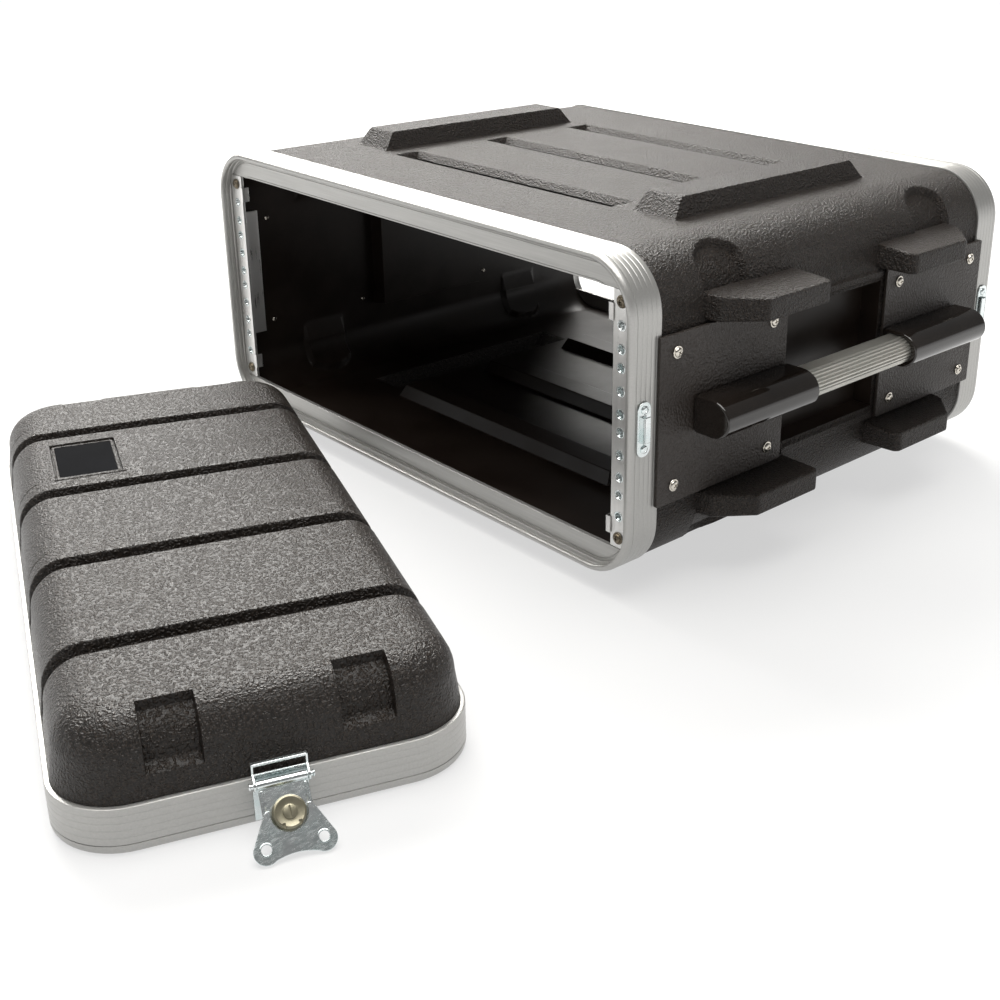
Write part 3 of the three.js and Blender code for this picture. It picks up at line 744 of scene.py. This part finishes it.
def side_block(side, end, up):
    """A moulded block beside a handle: a bevelled slab, thinner towards its outer end."""
    foot = HALF_W - 6
    outline = [(foot, 48), (277.5, 48), (BLOCK_OUT, 51.5), (BLOCK_OUT, 115), (259, 139), (foot, 142)]

    def point(x, y, z, taper):
        return Vector((side * x, end * y, up * (z + taper * ((x - foot) / (BLOCK_OUT - foot)))))

    bm = loft([[point(x, y, *level) for x, y in outline] for level in ((61, 0.8), (79.5, -2.2))])
    bmesh.ops.recalc_face_normals(bm, faces=bm.faces)
    bevel_all(bm, 1.9, 4)
    return bm


def make_body():
    bm = body_relief(body_skin())
    piece("body_moulding", bm, CASE_AT, "case", [ABS_FINE, ABS_GLOSS], ["body_shell"])
    for side, name in SIDES:
        for end, end_name in ENDS:
            for up, up_name in LEVELS:
                piece(f"side_block_{name}_{end_name}_{up_name}", side_block(side, end, up), CASE_AT, "case",
                      ABS_FINE)


# ---- rack rails
TAB_Z = 74.5


def hole_heights():
    foot = -2 * UNIT
    return [foot + u * UNIT + z for u in range(4) for z in HOLE_OFFSETS]


def cross_head(shank):
    """A screw on z = 0: washer face, domed head with a cross recess, and a shank with a thread."""
    profile = [(0, -shank), (1.2, -shank)]
    for i in range(int(shank)):
        z = -shank + 0.4 + i
        profile += [(1.7, z), (2.0, z + 0.3), (1.7, z + 0.6)]
    profile += [(1.8, -0.1), (1.8, 0), (4.2, 0), (4.35, 0.25), (4.2, 0.55), (3.35, 0.65), (3.25, 1.15)]
    profile += [(2.9, 1.65), (2.2, 2.0), (1.2, 2.15), (0, 2.2)]
    slots = [box((-a, -b, 0.95), (a, b, 3), 0.08, 1) for a, b in ((1.75, 0.36), (0.36, 1.75))]
    core = lathe([(0, 0.7), (0.35, 0.75), (0.85, 2.6), (0, 2.6)], 12)
    return carved(lathe(profile, 28), *slots, core)


def threaded_insert():
    """A pressed-in threaded bush, seen in each rail hole: a low lip and a few turns of thread."""
    rings = [(3.05, 5.0), (2.75, 4.7)]
    for i in range(4):
        rings += [(2.6, 4.2 - i), (2.9, 3.7 - i)]
    rings += [(2.75, -0.1), (2.95, -0.38), (3.5, -0.4), (3.75, -0.2), (3.75, 0.2), (3.05, 0.4)]
    return closed_skin([ring_at(r, z, 28) for r, z in rings])


def rail_outline():
    """The strip's outline in X and Z: its outer corners follow the inside of the frame's bead."""
    inset = BEAD_T + GAP
    radius = CORNER_R - inset
    cx, cz = HALF_W - CORNER_R, HALF_H - CORNER_R
    low = math.degrees(math.acos((RAIL_OUT - cx) / radius))
    high = math.degrees(math.asin((RAIL_HALF - cz) / radius))
    top = arc(cx, cz, radius, low, high, 5)
    return [(RAIL_IN, -RAIL_HALF), *((x, -z) for x, z in reversed(top)), *top, (RAIL_IN, RAIL_HALF)]


def rail(heights):
    holes = [circle(HOLE_X, z, 3.05) for z in heights]
    strip = sheet_metal([rail_outline(), *holes], FLANGE_T, 0.35)
    leg = box((RAIL_OUT - 2, -55, -FLANGE_T / 2), (RAIL_OUT, 55, FLANGE_T / 2 + 19), 0.3)
    return moved(joined(strip, leg), turned(90, "X"))


def rail_tab():
    """A small bent tab that holds the strip, standing at its inner edge."""
    plate = box((-3.2, -0.9, -6), (1.2, 0, 6), 0.3)
    hook = box((-3.2, -0.9, -6), (-2.2, 5, 6), 0.3)
    return joined(plate, hook)


def make_rails():
    heights = hole_heights()
    front = -HALF_D + FLANGE_Y
    screw = finished("rail_screw", cross_head(5.5))
    for side, name in SIDES:
        mirror = mirrored(side, X)
        strip = moved(moved(rail(heights), turned(180, "X")), mirror)
        piece("rail_strip_" + name, strip, CASE_AT @ at(0, front + FLANGE_T / 2, 0), "case",
              RAIL, ["rack_rail_" + name])
        inserts = [
            moved(threaded_insert(), shifted(side * HOLE_X, 0, z) @ turned(-90, "X")) for z in heights[1:-1]
        ]
        piece("rail_inserts_" + name, joined(*inserts), CASE_AT @ at(0, front, 0), "case", ZINC)
        for up, up_name in LEVELS:
            z = heights[-1] if up > 0 else heights[0]
            spot = f"{name}_{up_name}"
            place = CASE_AT @ at(side * HOLE_X, front - 0.3, z) @ turned(90, "X")
            piece("rail_cross_screw_" + spot, screw, place, "case", DARK_STEEL,
                  ["rail_screw_" + spot])
        for up, up_name in LEVELS:
            place = CASE_AT @ at(side * (RAIL_IN - 0.4), front - 0.35, up * TAB_Z)
            piece(f"rail_tab_{name}_{up_name}", moved(rail_tab(), mirror), place, "case", RAIL)


# ---- handles
CAP_HALF = 13.2
CAP_DEEP = 31
CAP_Y = (57.5, 153)
CAP_EDGE = 1.4
SOCKET = 12
TUBE_HALF = 10.6
TUBE_DEEP = 22
TUBE_WALL = 2.4
TUBE_LIFT = (CAP_DEEP - TUBE_DEEP) / 2
FLUTE_DEEP = 0.95
FLUTE_STEPS = 18
SCREW_Y = (73.7, 170.3)
SCREW_Z = 46.7
PLATE_Y = (58, 186)
PLATE_Z = 59.4


def d_section(half, deep, steps=40):
    """A D outline (x, z): flat back at x = 0 with rounded corners, and a round front."""
    flat = deep - half * 1.15
    front = [
        (flat + (deep - flat) * math.cos(a), half * math.sin(a))
        for a in (math.radians(-90 + 180 * i / steps) for i in range(steps + 1))
    ]
    r = 2.2
    upper = arc(r, half - r, r, 90, 180, 5)
    lower = arc(r, -half + r, r, 180, 270, 5)
    return front + upper + lower


def inset_d(half, deep, inset):
    return [(x + inset, z) for x, z in d_section(half - inset, deep - 2 * inset)]


def cap_solid():
    """The cap at the front end of a handle, its closed end in front, with a socket for the tube."""
    curve = [(1 - math.sin(a), 1 - math.cos(a)) for a in (math.radians(90 * t / 4) for t in range(5))]
    stops = [(CAP_EDGE * s, -CAP_Y[1] + CAP_EDGE * c) for s, c in curve]
    stops += [(CAP_EDGE * c, -CAP_Y[0] - CAP_EDGE * s) for s, c in curve]
    rings = [[Vector((x, y, z)) for x, z in inset_d(CAP_HALF, CAP_DEEP, inset)] for inset, y in stops]
    for y in (-CAP_Y[0], -CAP_Y[0] - SOCKET):
        outline = d_section(TUBE_HALF + 0.3, TUBE_DEEP + 0.6)
        rings.append([Vector((x + TUBE_LIFT - 0.3, y, z)) for x, z in outline])
    return tidy(loft(rings))


def fluted_tube():
    """The grip: a D tube whose front and sides carry fine lengthwise flutes."""
    base = d_section(TUBE_HALF, TUBE_DEEP, 216)
    outline = []
    for i, (x, z) in enumerate(base):
        before, after = base[i - 1], base[(i + 1) % len(base)]
        tangent = Vector((after[0] - before[0], after[1] - before[1])).normalized()
        flute = FLUTE_DEEP * (0.5 + 0.5 * math.cos(2 * math.pi * i / FLUTE_STEPS)) ** 2 if x > 6 else 0
        outline.append((x - tangent.y * flute, z + tangent.x * flute))
    inner = [
        (TUBE_WALL + x * (TUBE_DEEP - 2 * TUBE_WALL) / TUBE_DEEP, z * (TUBE_HALF - TUBE_WALL) / TUBE_HALF)
        for x, z in base
    ]
    end = CAP_Y[0] + SOCKET - 0.4
    stops = [(outline, -end), (outline, end), (inner, end), (inner, -end)]
    return closed_skin([[Vector((x + TUBE_LIFT, y, z)) for x, z in points] for points, y in stops])


def handle_plate():
    """One sheet plate in its own Y and Z, screw holes included, facing +X."""
    holes = [circle(y, z, 2.3, 14) for y in SCREW_Y for z in (-SCREW_Z, SCREW_Z)]
    flat = sheet_metal([round_rect(*PLATE_Y, -PLATE_Z, PLATE_Z, 1.6, 3), *holes], PLATE_T, 0.45)
    return moved(flat, FACING_X)


def make_handles():
    screw = finished("plate_screw", cross_head(12))
    back = PLATE_X + PLATE_T + GAP
    for side, name in SIDES:
        mirror = mirrored(side, X)
        place = CASE_AT @ at(side * back, 0, 0)
        piece("grip_tube_" + name, moved(fluted_tube(), mirror), place, "case", TUBE,
              ["handle_tube_" + name])
        for end, end_name in ENDS:
            spot = f"{name}_{end_name}"
            piece("grip_cap_" + spot, moved(cap_solid(), mirror @ mirrored(-end, Y)), place, "case",
                  CAP, ["handle_cap_" + spot])
            piece("side_plate_" + spot, moved(handle_plate(), mirror @ mirrored(end, Y)),
                  CASE_AT @ at(side * (PLATE_X + PLATE_T / 2), 0, 0), "case", PLATE,
                  ["handle_plate_" + spot])
            for y, y_name in zip(SCREW_Y, ("inner", "outer")):
                for up, up_name in LEVELS:
                    twist = Matrix.Rotation(0.7 + y * end + up * side, 4, "Z")
                    spot = f"{name}_{end_name}_{y_name}_{up_name}"
                    screw_at = CASE_AT @ at(side * back, end * y, up * SCREW_Z) @ turned(side * 90, "Y")
                    piece("washer_screw_" + spot, screw, screw_at @ twist, "case", NICKEL,
                          ["plate_screw_" + spot])


# ---- keepers
def keeper_shape():
    """A zinc keeper in Y and Z facing +X: a round-ended strip with two rivets and a hooked lip."""
    outlines = [round_rect(-6, 6, -19, 19, 5.6, 8), round_rect(-1.4, 2.6, -7.5, 7.5, 1.9, 4)]
    strip = moved(sheet_metal(outlines, 1.2, 0.3, 2), FACING_X)
    root = box((-0.4, -2.6, -9), (3.8, -1.3, 9), 0.3)
    lip = box((2.6, -2.6, -9), (3.8, 3.6, 9), 0.5, 3)
    parts = [moved(strip, shifted(0.6, 0, 0)), root, lip]
    head = [(0, 0), (2.9, 0), (2.9, 0.5), (2.5, 1.0), (1.7, 1.35), (1.1, 1.3), (0.9, 1.0), (0, 0.95)]
    for z in (-13.6, 13.6):
        parts.append(moved(lathe(head, 24), shifted(1.2, 0, z) @ turned(90, "Y")))
    return joined(*parts)


def make_keepers():
    for side, name in SIDES:
        for end, end_name in ENDS:
            shape = moved(keeper_shape(), mirrored(side, X) @ mirrored(-end, Y))
            place = CASE_AT @ at(side * PLATE_X, end * (HALF_D - 12), 0)
            piece(f"latch_keeper_{name}_{end_name}", shape, place, "case", ZINC,
                  [f"keeper_{name}_{end_name}"])


# ---- lid
LID_FOOT = BAND_D + GAP
DOME_FOOT_INSET = 2.6
DOME_CORNER = 37.4  # the dome's corner radius at its foot
DOME_NARROWING = 0.78  # how fast that radius shrinks with the inset
CROWN = 0.5  # how much lower the top is at its edges
DOME_SHOULDER = (5.2, 47)  # inset and height where the shoulder's curve starts
DOME_ROUND = (23, LID_TOP - 47)
LID_GROOVES = (-160, -53.5, 53.5, 160)
LID_GROOVE = ((7.6, 0), (6.9, 0.3), (6.2, 1.3), (5.5, 5.4), (5.0, 6.6), (4.2, 7.0))
NOTCH = {"y": 50, "half": 14.5, "deep": 6.2, "z": 40.5, "ledge": 5.5, "top": 0.93}
BADGE_AT = (107, 58)
BADGE_HALF = (30, 21)
BADGE_STOPS = ((30.6, 31.2, 33.6, 34.4), (21.6, 22.2, 24.0, 24.8))  # across and along, from its middle
MOULD_LINES = (-33, 76, 182)


def dome_profile(t):
    """(inset, z, sideways, upward) of the dome's side at t: 0 foot, 1 start of the shoulder, 2 its top."""
    if t <= 1:
        inset = DOME_FOOT_INSET + (DOME_SHOULDER[0] - DOME_FOOT_INSET) * t
        return inset, LID_FOOT + (DOME_SHOULDER[1] - LID_FOOT) * t, 0.99, 0.14
    a = (t - 1) * math.pi / 2
    inset = DOME_SHOULDER[0] + DOME_ROUND[0] * (1 - math.cos(a))
    return inset, DOME_SHOULDER[1] + DOME_ROUND[1] * math.sin(a), math.cos(a), math.sin(a)


def dome_radius(inset):
    return DOME_CORNER - DOME_NARROWING * (inset - DOME_FOOT_INSET)


def lid_stops():
    """The straight sides' stops, and the stops from a corner's start to its diagonal."""
    top_inset = DOME_SHOULDER[0] + DOME_ROUND[0]
    clear_x = HALF_W - top_inset - dome_radius(top_inset) - 0.5
    clear_y = HALF_H - top_inset - dome_radius(top_inset)
    groove = [g + s * d for g in LID_GROOVES for d, _ in LID_GROOVE for s in (-1, 1)]
    mould = [m + d for m in MOULD_LINES for d in (-0.9, -0.4, 0.4, 0.9)]
    bx = [BADGE_AT[0] + s * d for s in (-1, 1) for d in BADGE_STOPS[0]]
    notch = [s * (NOTCH["y"] + d) for s in (-1, 1) for d in (-15.2, -14.5, -13.8, 13.8, 14.5, 15.2)]
    by = [BADGE_AT[1] - d for d in BADGE_STOPS[1]]
    xs = lines(-clear_x, clear_x, 9, *groove, *mould, *bx)
    ys = lines(-clear_y, clear_y, 8, *notch, *by)
    return xs, ys, clear_x, clear_y


def badge_relief(x, y):
    """A raised frame with a sunk floor inside it."""
    dx, dy = abs(x - BADGE_AT[0]) - BADGE_HALF[0], abs(y - BADGE_AT[1]) - BADGE_HALF[1]
    edge = max(dx, dy)
    if edge < 0.9:
        return 1.6
    return -0.7 if edge < 3.8 else 0


def lid_depth(x, in_corner):
    """How far the cross grooves and the fine mould lines are sunk below the dome's plain surface."""
    if in_corner:
        return 0
    depth = 0
    for off in (abs(x - g) for g in LID_GROOVES):
        for (a, da), (b, db) in zip(LID_GROOVE, LID_GROOVE[1:]):
            if b <= off <= a:
                depth = da + (db - da) * (a - off) / (a - b)
        if off < LID_GROOVE[-1][0]:
            depth = LID_GROOVE[-1][1]
    if any(abs(x - m) < 0.65 for m in MOULD_LINES):
        depth = max(depth, 0.3)
    return depth


def lid_skin(bm, wall):
    """The dome: a crowned top sheet with round corners, and the side below it, a wall's thickness inside
    the moulding's surface. Returns the ring of vertices at its foot."""
    xs, ys, clear_x, clear_y = lid_stops()
    radius = dome_radius(DOME_SHOULDER[0] + DOME_ROUND[0])
    corner = [i / 8 for i in range(1, 9)]
    badge = [(BADGE_AT[1] + d - clear_y) / radius for d in BADGE_STOPS[1][:2]]
    corner_y = sorted(b for b in {*corner, *badge} if 0 < b <= 1)
    levels = [0, 0.2, 0.25, 0.28, 0.36, 0.55]
    notch = [NOTCH["z"] - LID_FOOT + NOTCH["ledge"] * i / 6 for i in range(7)]
    levels += [z / (DOME_SHOULDER[1] - LID_FOOT) for z in notch]
    levels += [1 + i / 12 for i in range(12)] + [1 + NOTCH["top"] - 0.04, 1 + NOTCH["top"]]
    edge_x, edge_y = xs[-1], ys[-1]
    us = [(-edge_x, a) for a in reversed(corner)] + [(x, 0) for x in xs] + [(edge_x, a) for a in corner]
    vs = [(-edge_y, b) for b in reversed(corner_y)] + [(y, 0) for y in ys] + [(edge_y, b) for b in corner_y]

    def top_point(u, v):
        """A place in plan: a stop on a straight side, and how far into a round corner it lies."""
        a, b = u[1], v[1]
        return (u[0] + math.copysign(radius * a * math.sqrt(1 - b * b / 2), u[0]) if a else u[0],
                v[0] + math.copysign(radius * b * math.sqrt(1 - a * a / 2), v[0]) if b else v[0])

    def crown(x, y):
        return CROWN * ((y / HALF_H) ** 2 + 0.3 * (x / HALF_W) ** 2)

    grid = []
    for u in us:
        row = []
        for v in vs:
            x, y = top_point(u, v)
            sunk = lid_depth(x, abs(x) > edge_x + 1) + wall
            relief = 0 if wall else badge_relief(x, y)
            row.append(bm.verts.new((x, y, LID_TOP - crown(x, y) - sunk - relief)))
        grid.append(row)
    for a, b in zip(grid, grid[1:]):
        for j in range(len(a) - 1):
            bm.faces.new((a[j], b[j], b[j + 1], a[j + 1]))
    m, n = len(us) - 1, len(vs) - 1
    rim = [(i, 0) for i in range(m)] + [(m, j) for j in range(n)]
    rim += [(i, n) for i in range(m, 0, -1)] + [(0, j) for j in range(n, 0, -1)]

    def side_point(i, j, t):
        inset, z, sideways, upward = dome_profile(t)
        u, v = us[i], vs[j]
        x, y = top_point(u, v)
        at_end = abs(u[0]) >= edge_x - 1e-6
        depth = lid_depth(x, at_end and u[1] > 0) * smooth((z - 32.2) / 1.3)
        if at_end and not v[1]:
            depth = max(depth, notch_depth(v[0], z, t))
        sunk = inset + (depth + wall) * sideways
        z -= (depth + wall) * upward + crown(x, y) * smooth(t - 1)
        r = max(dome_radius(inset) - (depth * 0.5 + wall) * sideways, 6)
        cx, cy = HALF_W - sunk - r, HALF_H - sunk - r
        if u[1] and v[1]:
            angle = math.atan2(v[1] * math.sqrt(1 - u[1] ** 2 / 2), u[1] * math.sqrt(1 - v[1] ** 2 / 2))
            return Vector((math.copysign(cx + r * math.cos(angle), u[0]),
                           math.copysign(cy + r * math.sin(angle), v[0]), z))
        if v[1]:
            return Vector((u[0], math.copysign(HALF_H - sunk, v[0]), z))
        return Vector((math.copysign(HALF_W - sunk, u[0]), v[0], z))

    ring = [grid[i][j] for i, j in rim]
    for t in sorted({round(level, 4) for level in levels}, reverse=True):
        ring = bridge(bm, ring, [bm.verts.new(side_point(i, j, t)) for i, j in rim])
    return ring


def notch_depth(y, z, t):
    """How far the two square notches in each end are sunk."""
    inside = smooth((NOTCH["half"] + 0.1 - abs(abs(y) - NOTCH["y"])) / 0.8)
    low = smooth((z - NOTCH["z"]) / NOTCH["ledge"])
    high = smooth((1 + NOTCH["top"] - t) / 0.05)
    return NOTCH["deep"] * inside * low * high


def bridge(bm, ring, lower):
    """Quads between two closed rings of vertices; returns the second ring."""
    for k in range(len(ring)):
        q = (k + 1) % len(ring)
        bm.faces.new((ring[k], lower[k], lower[q], ring[q]))
    return lower


def skirt_ring(bm, ring, inset, z):
    """A ring moved onto the rounded rectangle at an inset from the outside of the lid's frame."""
    cx, cy = HALF_W - CORNER_R, HALF_H - CORNER_R
    result = []
    for v in ring:
        x, y = v.co.x, v.co.y
        if abs(x) > cx and abs(y) > cy:
            away = Vector((abs(x) - cx, abs(y) - cy)).normalized() * (CORNER_R - inset)
            x, y = math.copysign(cx + away.x, x), math.copysign(cy + away.y, y)
        elif abs(x) > cx:
            x = math.copysign(HALF_W - inset, x)
        else:
            y = math.copysign(HALF_H - inset, y)
        result.append(bm.verts.new((x, y, z)))
    return result


def make_lid():
    bm = bmesh.new()
    outer = lid_skin(bm, 0)
    outside = set(bm.faces)
    inner = lid_skin(bm, WALL)
    for face in bm.faces:
        face.material_index = 0 if face in outside else 1
    skirt = FLANGE_Y + GAP
    for z in (LID_FOOT, skirt):
        outer = bridge(bm, outer, skirt_ring(bm, outer, UNDER, z))
    inner = bridge(bm, inner, skirt_ring(bm, inner, UNDER + WALL, skirt))
    bridge(bm, outer, inner)
    tidy(bm)
    piece("lid_moulding", bm, LID_AT, "lid", [ABS, ABS_GLOSS], ["lid_shell"], 40)
    x, y = BADGE_AT
    plate = sheet_metal([round_rect(-28, 28, -19, 19, 1.5, 4)], 1.1, 0.3, 2)
    outlines = [round_rect(-29.8, 29.8, -20.8, 20.8, 1.8, 4), round_rect(-28.2, 28.2, -19.2, 19.2, 1.5, 4)]
    rim = sheet_metal(outlines, 1.3, 0.25, 2)
    place = LID_AT @ at(x, y, LID_TOP - 1.25)
    piece("badge_blank_plate", plate, place, "lid", BADGE, ["lid_badge_plate"])
    piece("badge_rim", rim, place, "lid", ABS)


# ---- butterfly latches
PIN = Vector((254.5, 0, 27))
ROTOR_U = 17
lean = Vector(joints["far_rotor_turn"]["axis"])
SLOPE = math.atan2(lean.xy.length, abs(lean.z))
LATCH_FACE = HALF_W + GAP


def latch_base():
    """The riveted base: a back plate, two cheeks that hold the pin, and the loop over them."""
    half, back, front = 14.4, LATCH_FACE, LATCH_FACE + 2.8
    outline = [(back, 21.5), (PIN.x, 24), *arc(PIN.x, PIN.z, 3, -90, 60, 8), (front, 32.5), (front, 37.2),
               (back + 2.2, 38), (back, 38)]
    parts = [box((back, -half, 3), (back + 1.2, half, 31), 0.4)]
    for s in (-1, 1):
        cheek = sheet_metal([outline, circle(PIN.x, PIN.z, 1.6, 12)], 1.2, 0.3)
        parts.append(moved(cheek, shifted(0, s * (half - 0.4), 0) @ turned(90, "X")))
    parts.append(box((back, -half + 0.2, 36.4), (front, half - 0.2, 38), 0.6, 3))
    for y in (-8, 8):
        rivet = lathe([(0, 0), (2.3, 0), (2.3, 0.3), (1.6, 0.8), (0, 1.0)], 20)
        parts.append(moved(rivet, shifted(back + 1.1, y, 8.5) @ turned(90, "Y")))
    return joined(*parts)


def latch_pin():
    half = [(0, 17), (1.5, 17), (1.9, 16.6), (1.9, 16.1), (1.4, 15.8)]
    profile = [(r, -z) for r, z in half] + half[::-1]
    return moved(lathe(profile, 20), shifted(*PIN) @ turned(90, "X"))


def draw_plate():
    """The swinging plate: a rolled barrel round the pin, and a flat sheet with a short raised rib near each
    long edge.
    """
    half, end = 12.8, 27
    sheet = sheet_metal([round_rect(1.6, end, -half, half, 2.5, 4), circle(ROTOR_U, 0, 3.4)], 1.5, 0.35)
    sizes = ((2.6, -half), (2.6, half), (1.7, half), (1.7, -half))
    barrel = closed_skin([[Vector((p.x, y, p.y)) for p in ring_at(r, 0, 24)] for r, y in sizes])
    ribs = [box((3.2, s * 11.2 - 0.7, 0.2), (14, s * 11.2 + 0.7, 1.35), 0.4) for s in (-1, 1)]
    return joined(sheet, barrel, *ribs)


def rotor():
    """The turning cup: stepped rim, dished face, slotted centre rivet and two small notches."""
    profile = [
        (0, -1.9), (2.8, -1.9), (2.8, 1.1), (8.3, 1.1), (8.7, 1.5), (8.7, 3.4), (8.3, 3.8), (7.9, 3.9),
        (7.9, 5.6), (8.5, 5.9), (8.6, 6.6), (8.2, 7.4), (7.4, 7.7), (6.9, 7.5), (5.0, 7.15), (3.9, 7.1),
        (3.7, 7.15), (3.6, 7.7), (3.2, 8.0), (0, 8.0),
    ]
    slot = box((-3.0, -0.45, 7.4), (3.0, 0.45, 9), 0.1, 1)
    notches = [box((5.0, s * 4.2 - 0.9, 6.4), (7.6, s * 4.2 + 0.9, 9), 0.15, 1) for s in (-1, 1)]
    return moved(carved(lathe(profile, 40), slot, *notches), shifted(ROTOR_U, 0, 0))


def wing_outline():
    """The butterfly: round lobes, a waist between them and the cut-out that clears the rotor."""
    cut, waist = 9.3, ROTOR_U + 18.4
    half = [*arc(ROTOR_U, 0, cut, 0, 86, 12), (ROTOR_U - 2.8, cut), (ROTOR_U - 2.9, 11.2)]
    half += [(ROTOR_U - 2, 12.5), *arc(ROTOR_U + 16.5, 14.6, 6.6, 112, -36, 16)]
    end = half[-1]
    for i in range(1, 6):
        t = i / 10
        half.append((
            (1 - t) ** 2 * end[0] + 2 * t * (1 - t) * waist + t * t * end[0],
            (1 - t) ** 2 * end[1] - t * t * end[1],
        ))
    return half + [(x, -y) for x, y in reversed(half[1:-1])]


def wing():
    """The thumb plate: a flat butterfly with a rolled edge round each of its two holes."""
    u, v, hole = ROTOR_U + 15.5, 14.6, 2.6
    sheet = sheet_metal([wing_outline(), *(circle(u, s * v, hole) for s in (-1, 1))], 1.2, 0.4, 3)
    parts = [moved(sheet, shifted(0, 0, 3.3 + 0.6))]
    edge = ((hole, 4.4), (2.75, 4.75), (3.1, 4.85), (3.5, 4.7), (3.7, 4.3))
    parts += [closed_skin([ring_at(r, z, 24, u, s * v) for r, z in edge]) for s in (-1, 1)]
    return joined(*parts)


def make_latches():
    for end, turn in (("far", 0), ("near", 180)):
        base_at = LID_AT @ turned(turn, "Z")
        swung_at = base_at @ at(*PIN) @ Matrix.Rotation(SLOPE, 4, "Y")
        piece(end + "_latch_housing", latch_base(), base_at, "lid", ZINC, [end + "_latch_base"])
        piece(end + "_hinge_pin", latch_pin(), base_at, "lid", ZINC, [end + "_latch_pin"])
        for name, shape, body, slot, look, node in (
            ("_swing_plate", draw_plate, "_latch_draw", "zinc", ZINC, "_latch_draw_plate"),
            ("_rotor_cup", rotor, "_latch_rotor", "rotor_olive", OLIVE, "_latch_rotor"),
            ("_butterfly_wing", wing, "_latch_wing", "zinc", ZINC, "_latch_wing"),
        ):
            piece(end + name, shape(), swung_at, end + body, look, [end + node])


# ---- studio
FLOOR_R = 40  # metres, so that its edge lies at the horizon
WARM = (1, 0.985, 0.95)


def make_floor():
    """A pale floor that glows towards its far edge, so that it runs into the white around it."""
    look = Look("floor_paper", (0.2, 0.2, 0.199), 0.75)
    soft = look.noise(2.5, 3)
    look.paint(look.colour(soft, (0.3, (0.19, 0.19, 0.189)), (0.7, (0.21, 0.21, 0.209))))
    away = look.node("VectorMath", {0: look.place}, operation="LENGTH").outputs["Value"]
    look.shader.inputs["Emission Color"].default_value = (1, 1, 1, 1)
    look.links.new(look.between(away, 0.3, 1.2, 0.6, 0.95), look.shader.inputs["Emission Strength"])
    bm = bmesh.new()
    bmesh.ops.create_circle(bm, cap_ends=True, segments=64, radius=FLOOR_R)
    floor = linked("floor", poured("floor", bm))
    floor.data.materials.append(look.material)
    floor.location.z = -0.0005


def area_light(name, place, aim, size, power, color=(1, 1, 1)):
    light = bpy.data.lights.new(name, "AREA")
    light.shape = "RECTANGLE"
    light.size, light.size_y = size
    light.energy = power
    light.color = color
    o = linked(name, light)
    o.location = place
    o.rotation_euler = (Vector(aim) - Vector(place)).to_track_quat("-Z", "Y").to_euler()


def make_lights():
    """A white horizon under a dim sky, with a large soft box behind the case and one above it."""
    world = bpy.context.scene.world or bpy.data.worlds.new("studio")
    bpy.context.scene.world = world
    world.use_nodes = True
    nodes, links = world.node_tree.nodes, world.node_tree.links
    split = nodes.new("ShaderNodeSeparateXYZ")
    links.new(nodes.new("ShaderNodeTexCoord").outputs["Generated"], split.inputs[0])
    fade = nodes.new("ShaderNodeMapRange")
    for socket, value in {"From Min": 0.04, "From Max": 0.16, "To Min": 1.05, "To Max": 0.2}.items():
        fade.inputs[socket].default_value = value
    links.new(split.outputs["Z"], fade.inputs["Value"])
    links.new(fade.outputs["Result"], nodes["Background"].inputs["Strength"])
    nodes["Background"].inputs["Color"].default_value = (1, 1, 1, 1)
    area_light("back_box", (-1.7, 0.75, 1.68), (0, -0.1, 0.1), (2.4, 1.3), 160, WARM)
    area_light("overhead", (0.2, -0.2, 2.3), (0, -0.1, 0), (2.2, 2.0), 76, (1, 0.985, 0.96))
    area_light("left_fill", (-1.7, -1.6, 1.1), (0, -0.1, 0.1), (0.9, 0.9), 3)


# Off is from the case's middle in millimetres; the angles are in degrees.
CAMERA = {"off": Vector((825.5, -798.5, 337.1)), "yaw": -46.6, "pitch": -21.7, "roll": 0.35, "lens": 50.3,
          "shift": (-0.08, -0.08)}


def make_camera():
    yaw, pitch, roll = (math.radians(CAMERA[k]) for k in ("yaw", "pitch", "roll"))
    forward = Vector((math.sin(yaw) * math.cos(pitch), math.cos(yaw) * math.cos(pitch), math.sin(pitch)))
    right = Vector((math.cos(yaw), -math.sin(yaw), 0))
    up = right.cross(forward)
    right, up = (right * math.cos(roll) + up * math.sin(roll), up * math.cos(roll) - right * math.sin(roll))
    data = bpy.data.cameras.new("camera")
    data.lens = CAMERA["lens"]
    data.sensor_width = 36
    data.shift_x, data.shift_y = CAMERA["shift"]
    camera = linked("camera", data)
    turn = Matrix((right, up, -forward)).transposed().to_4x4()
    camera.matrix_world = Matrix.Translation((CASE_MIDDLE + CAMERA["off"]) * MM) @ turn
    bpy.context.scene.camera = camera
    bpy.context.scene.view_settings.view_transform = "Standard"


make_frames()
make_body()
make_rails()
make_handles()
make_keepers()
make_lid()
make_latches()
make_floor()
make_lights()
make_camera()
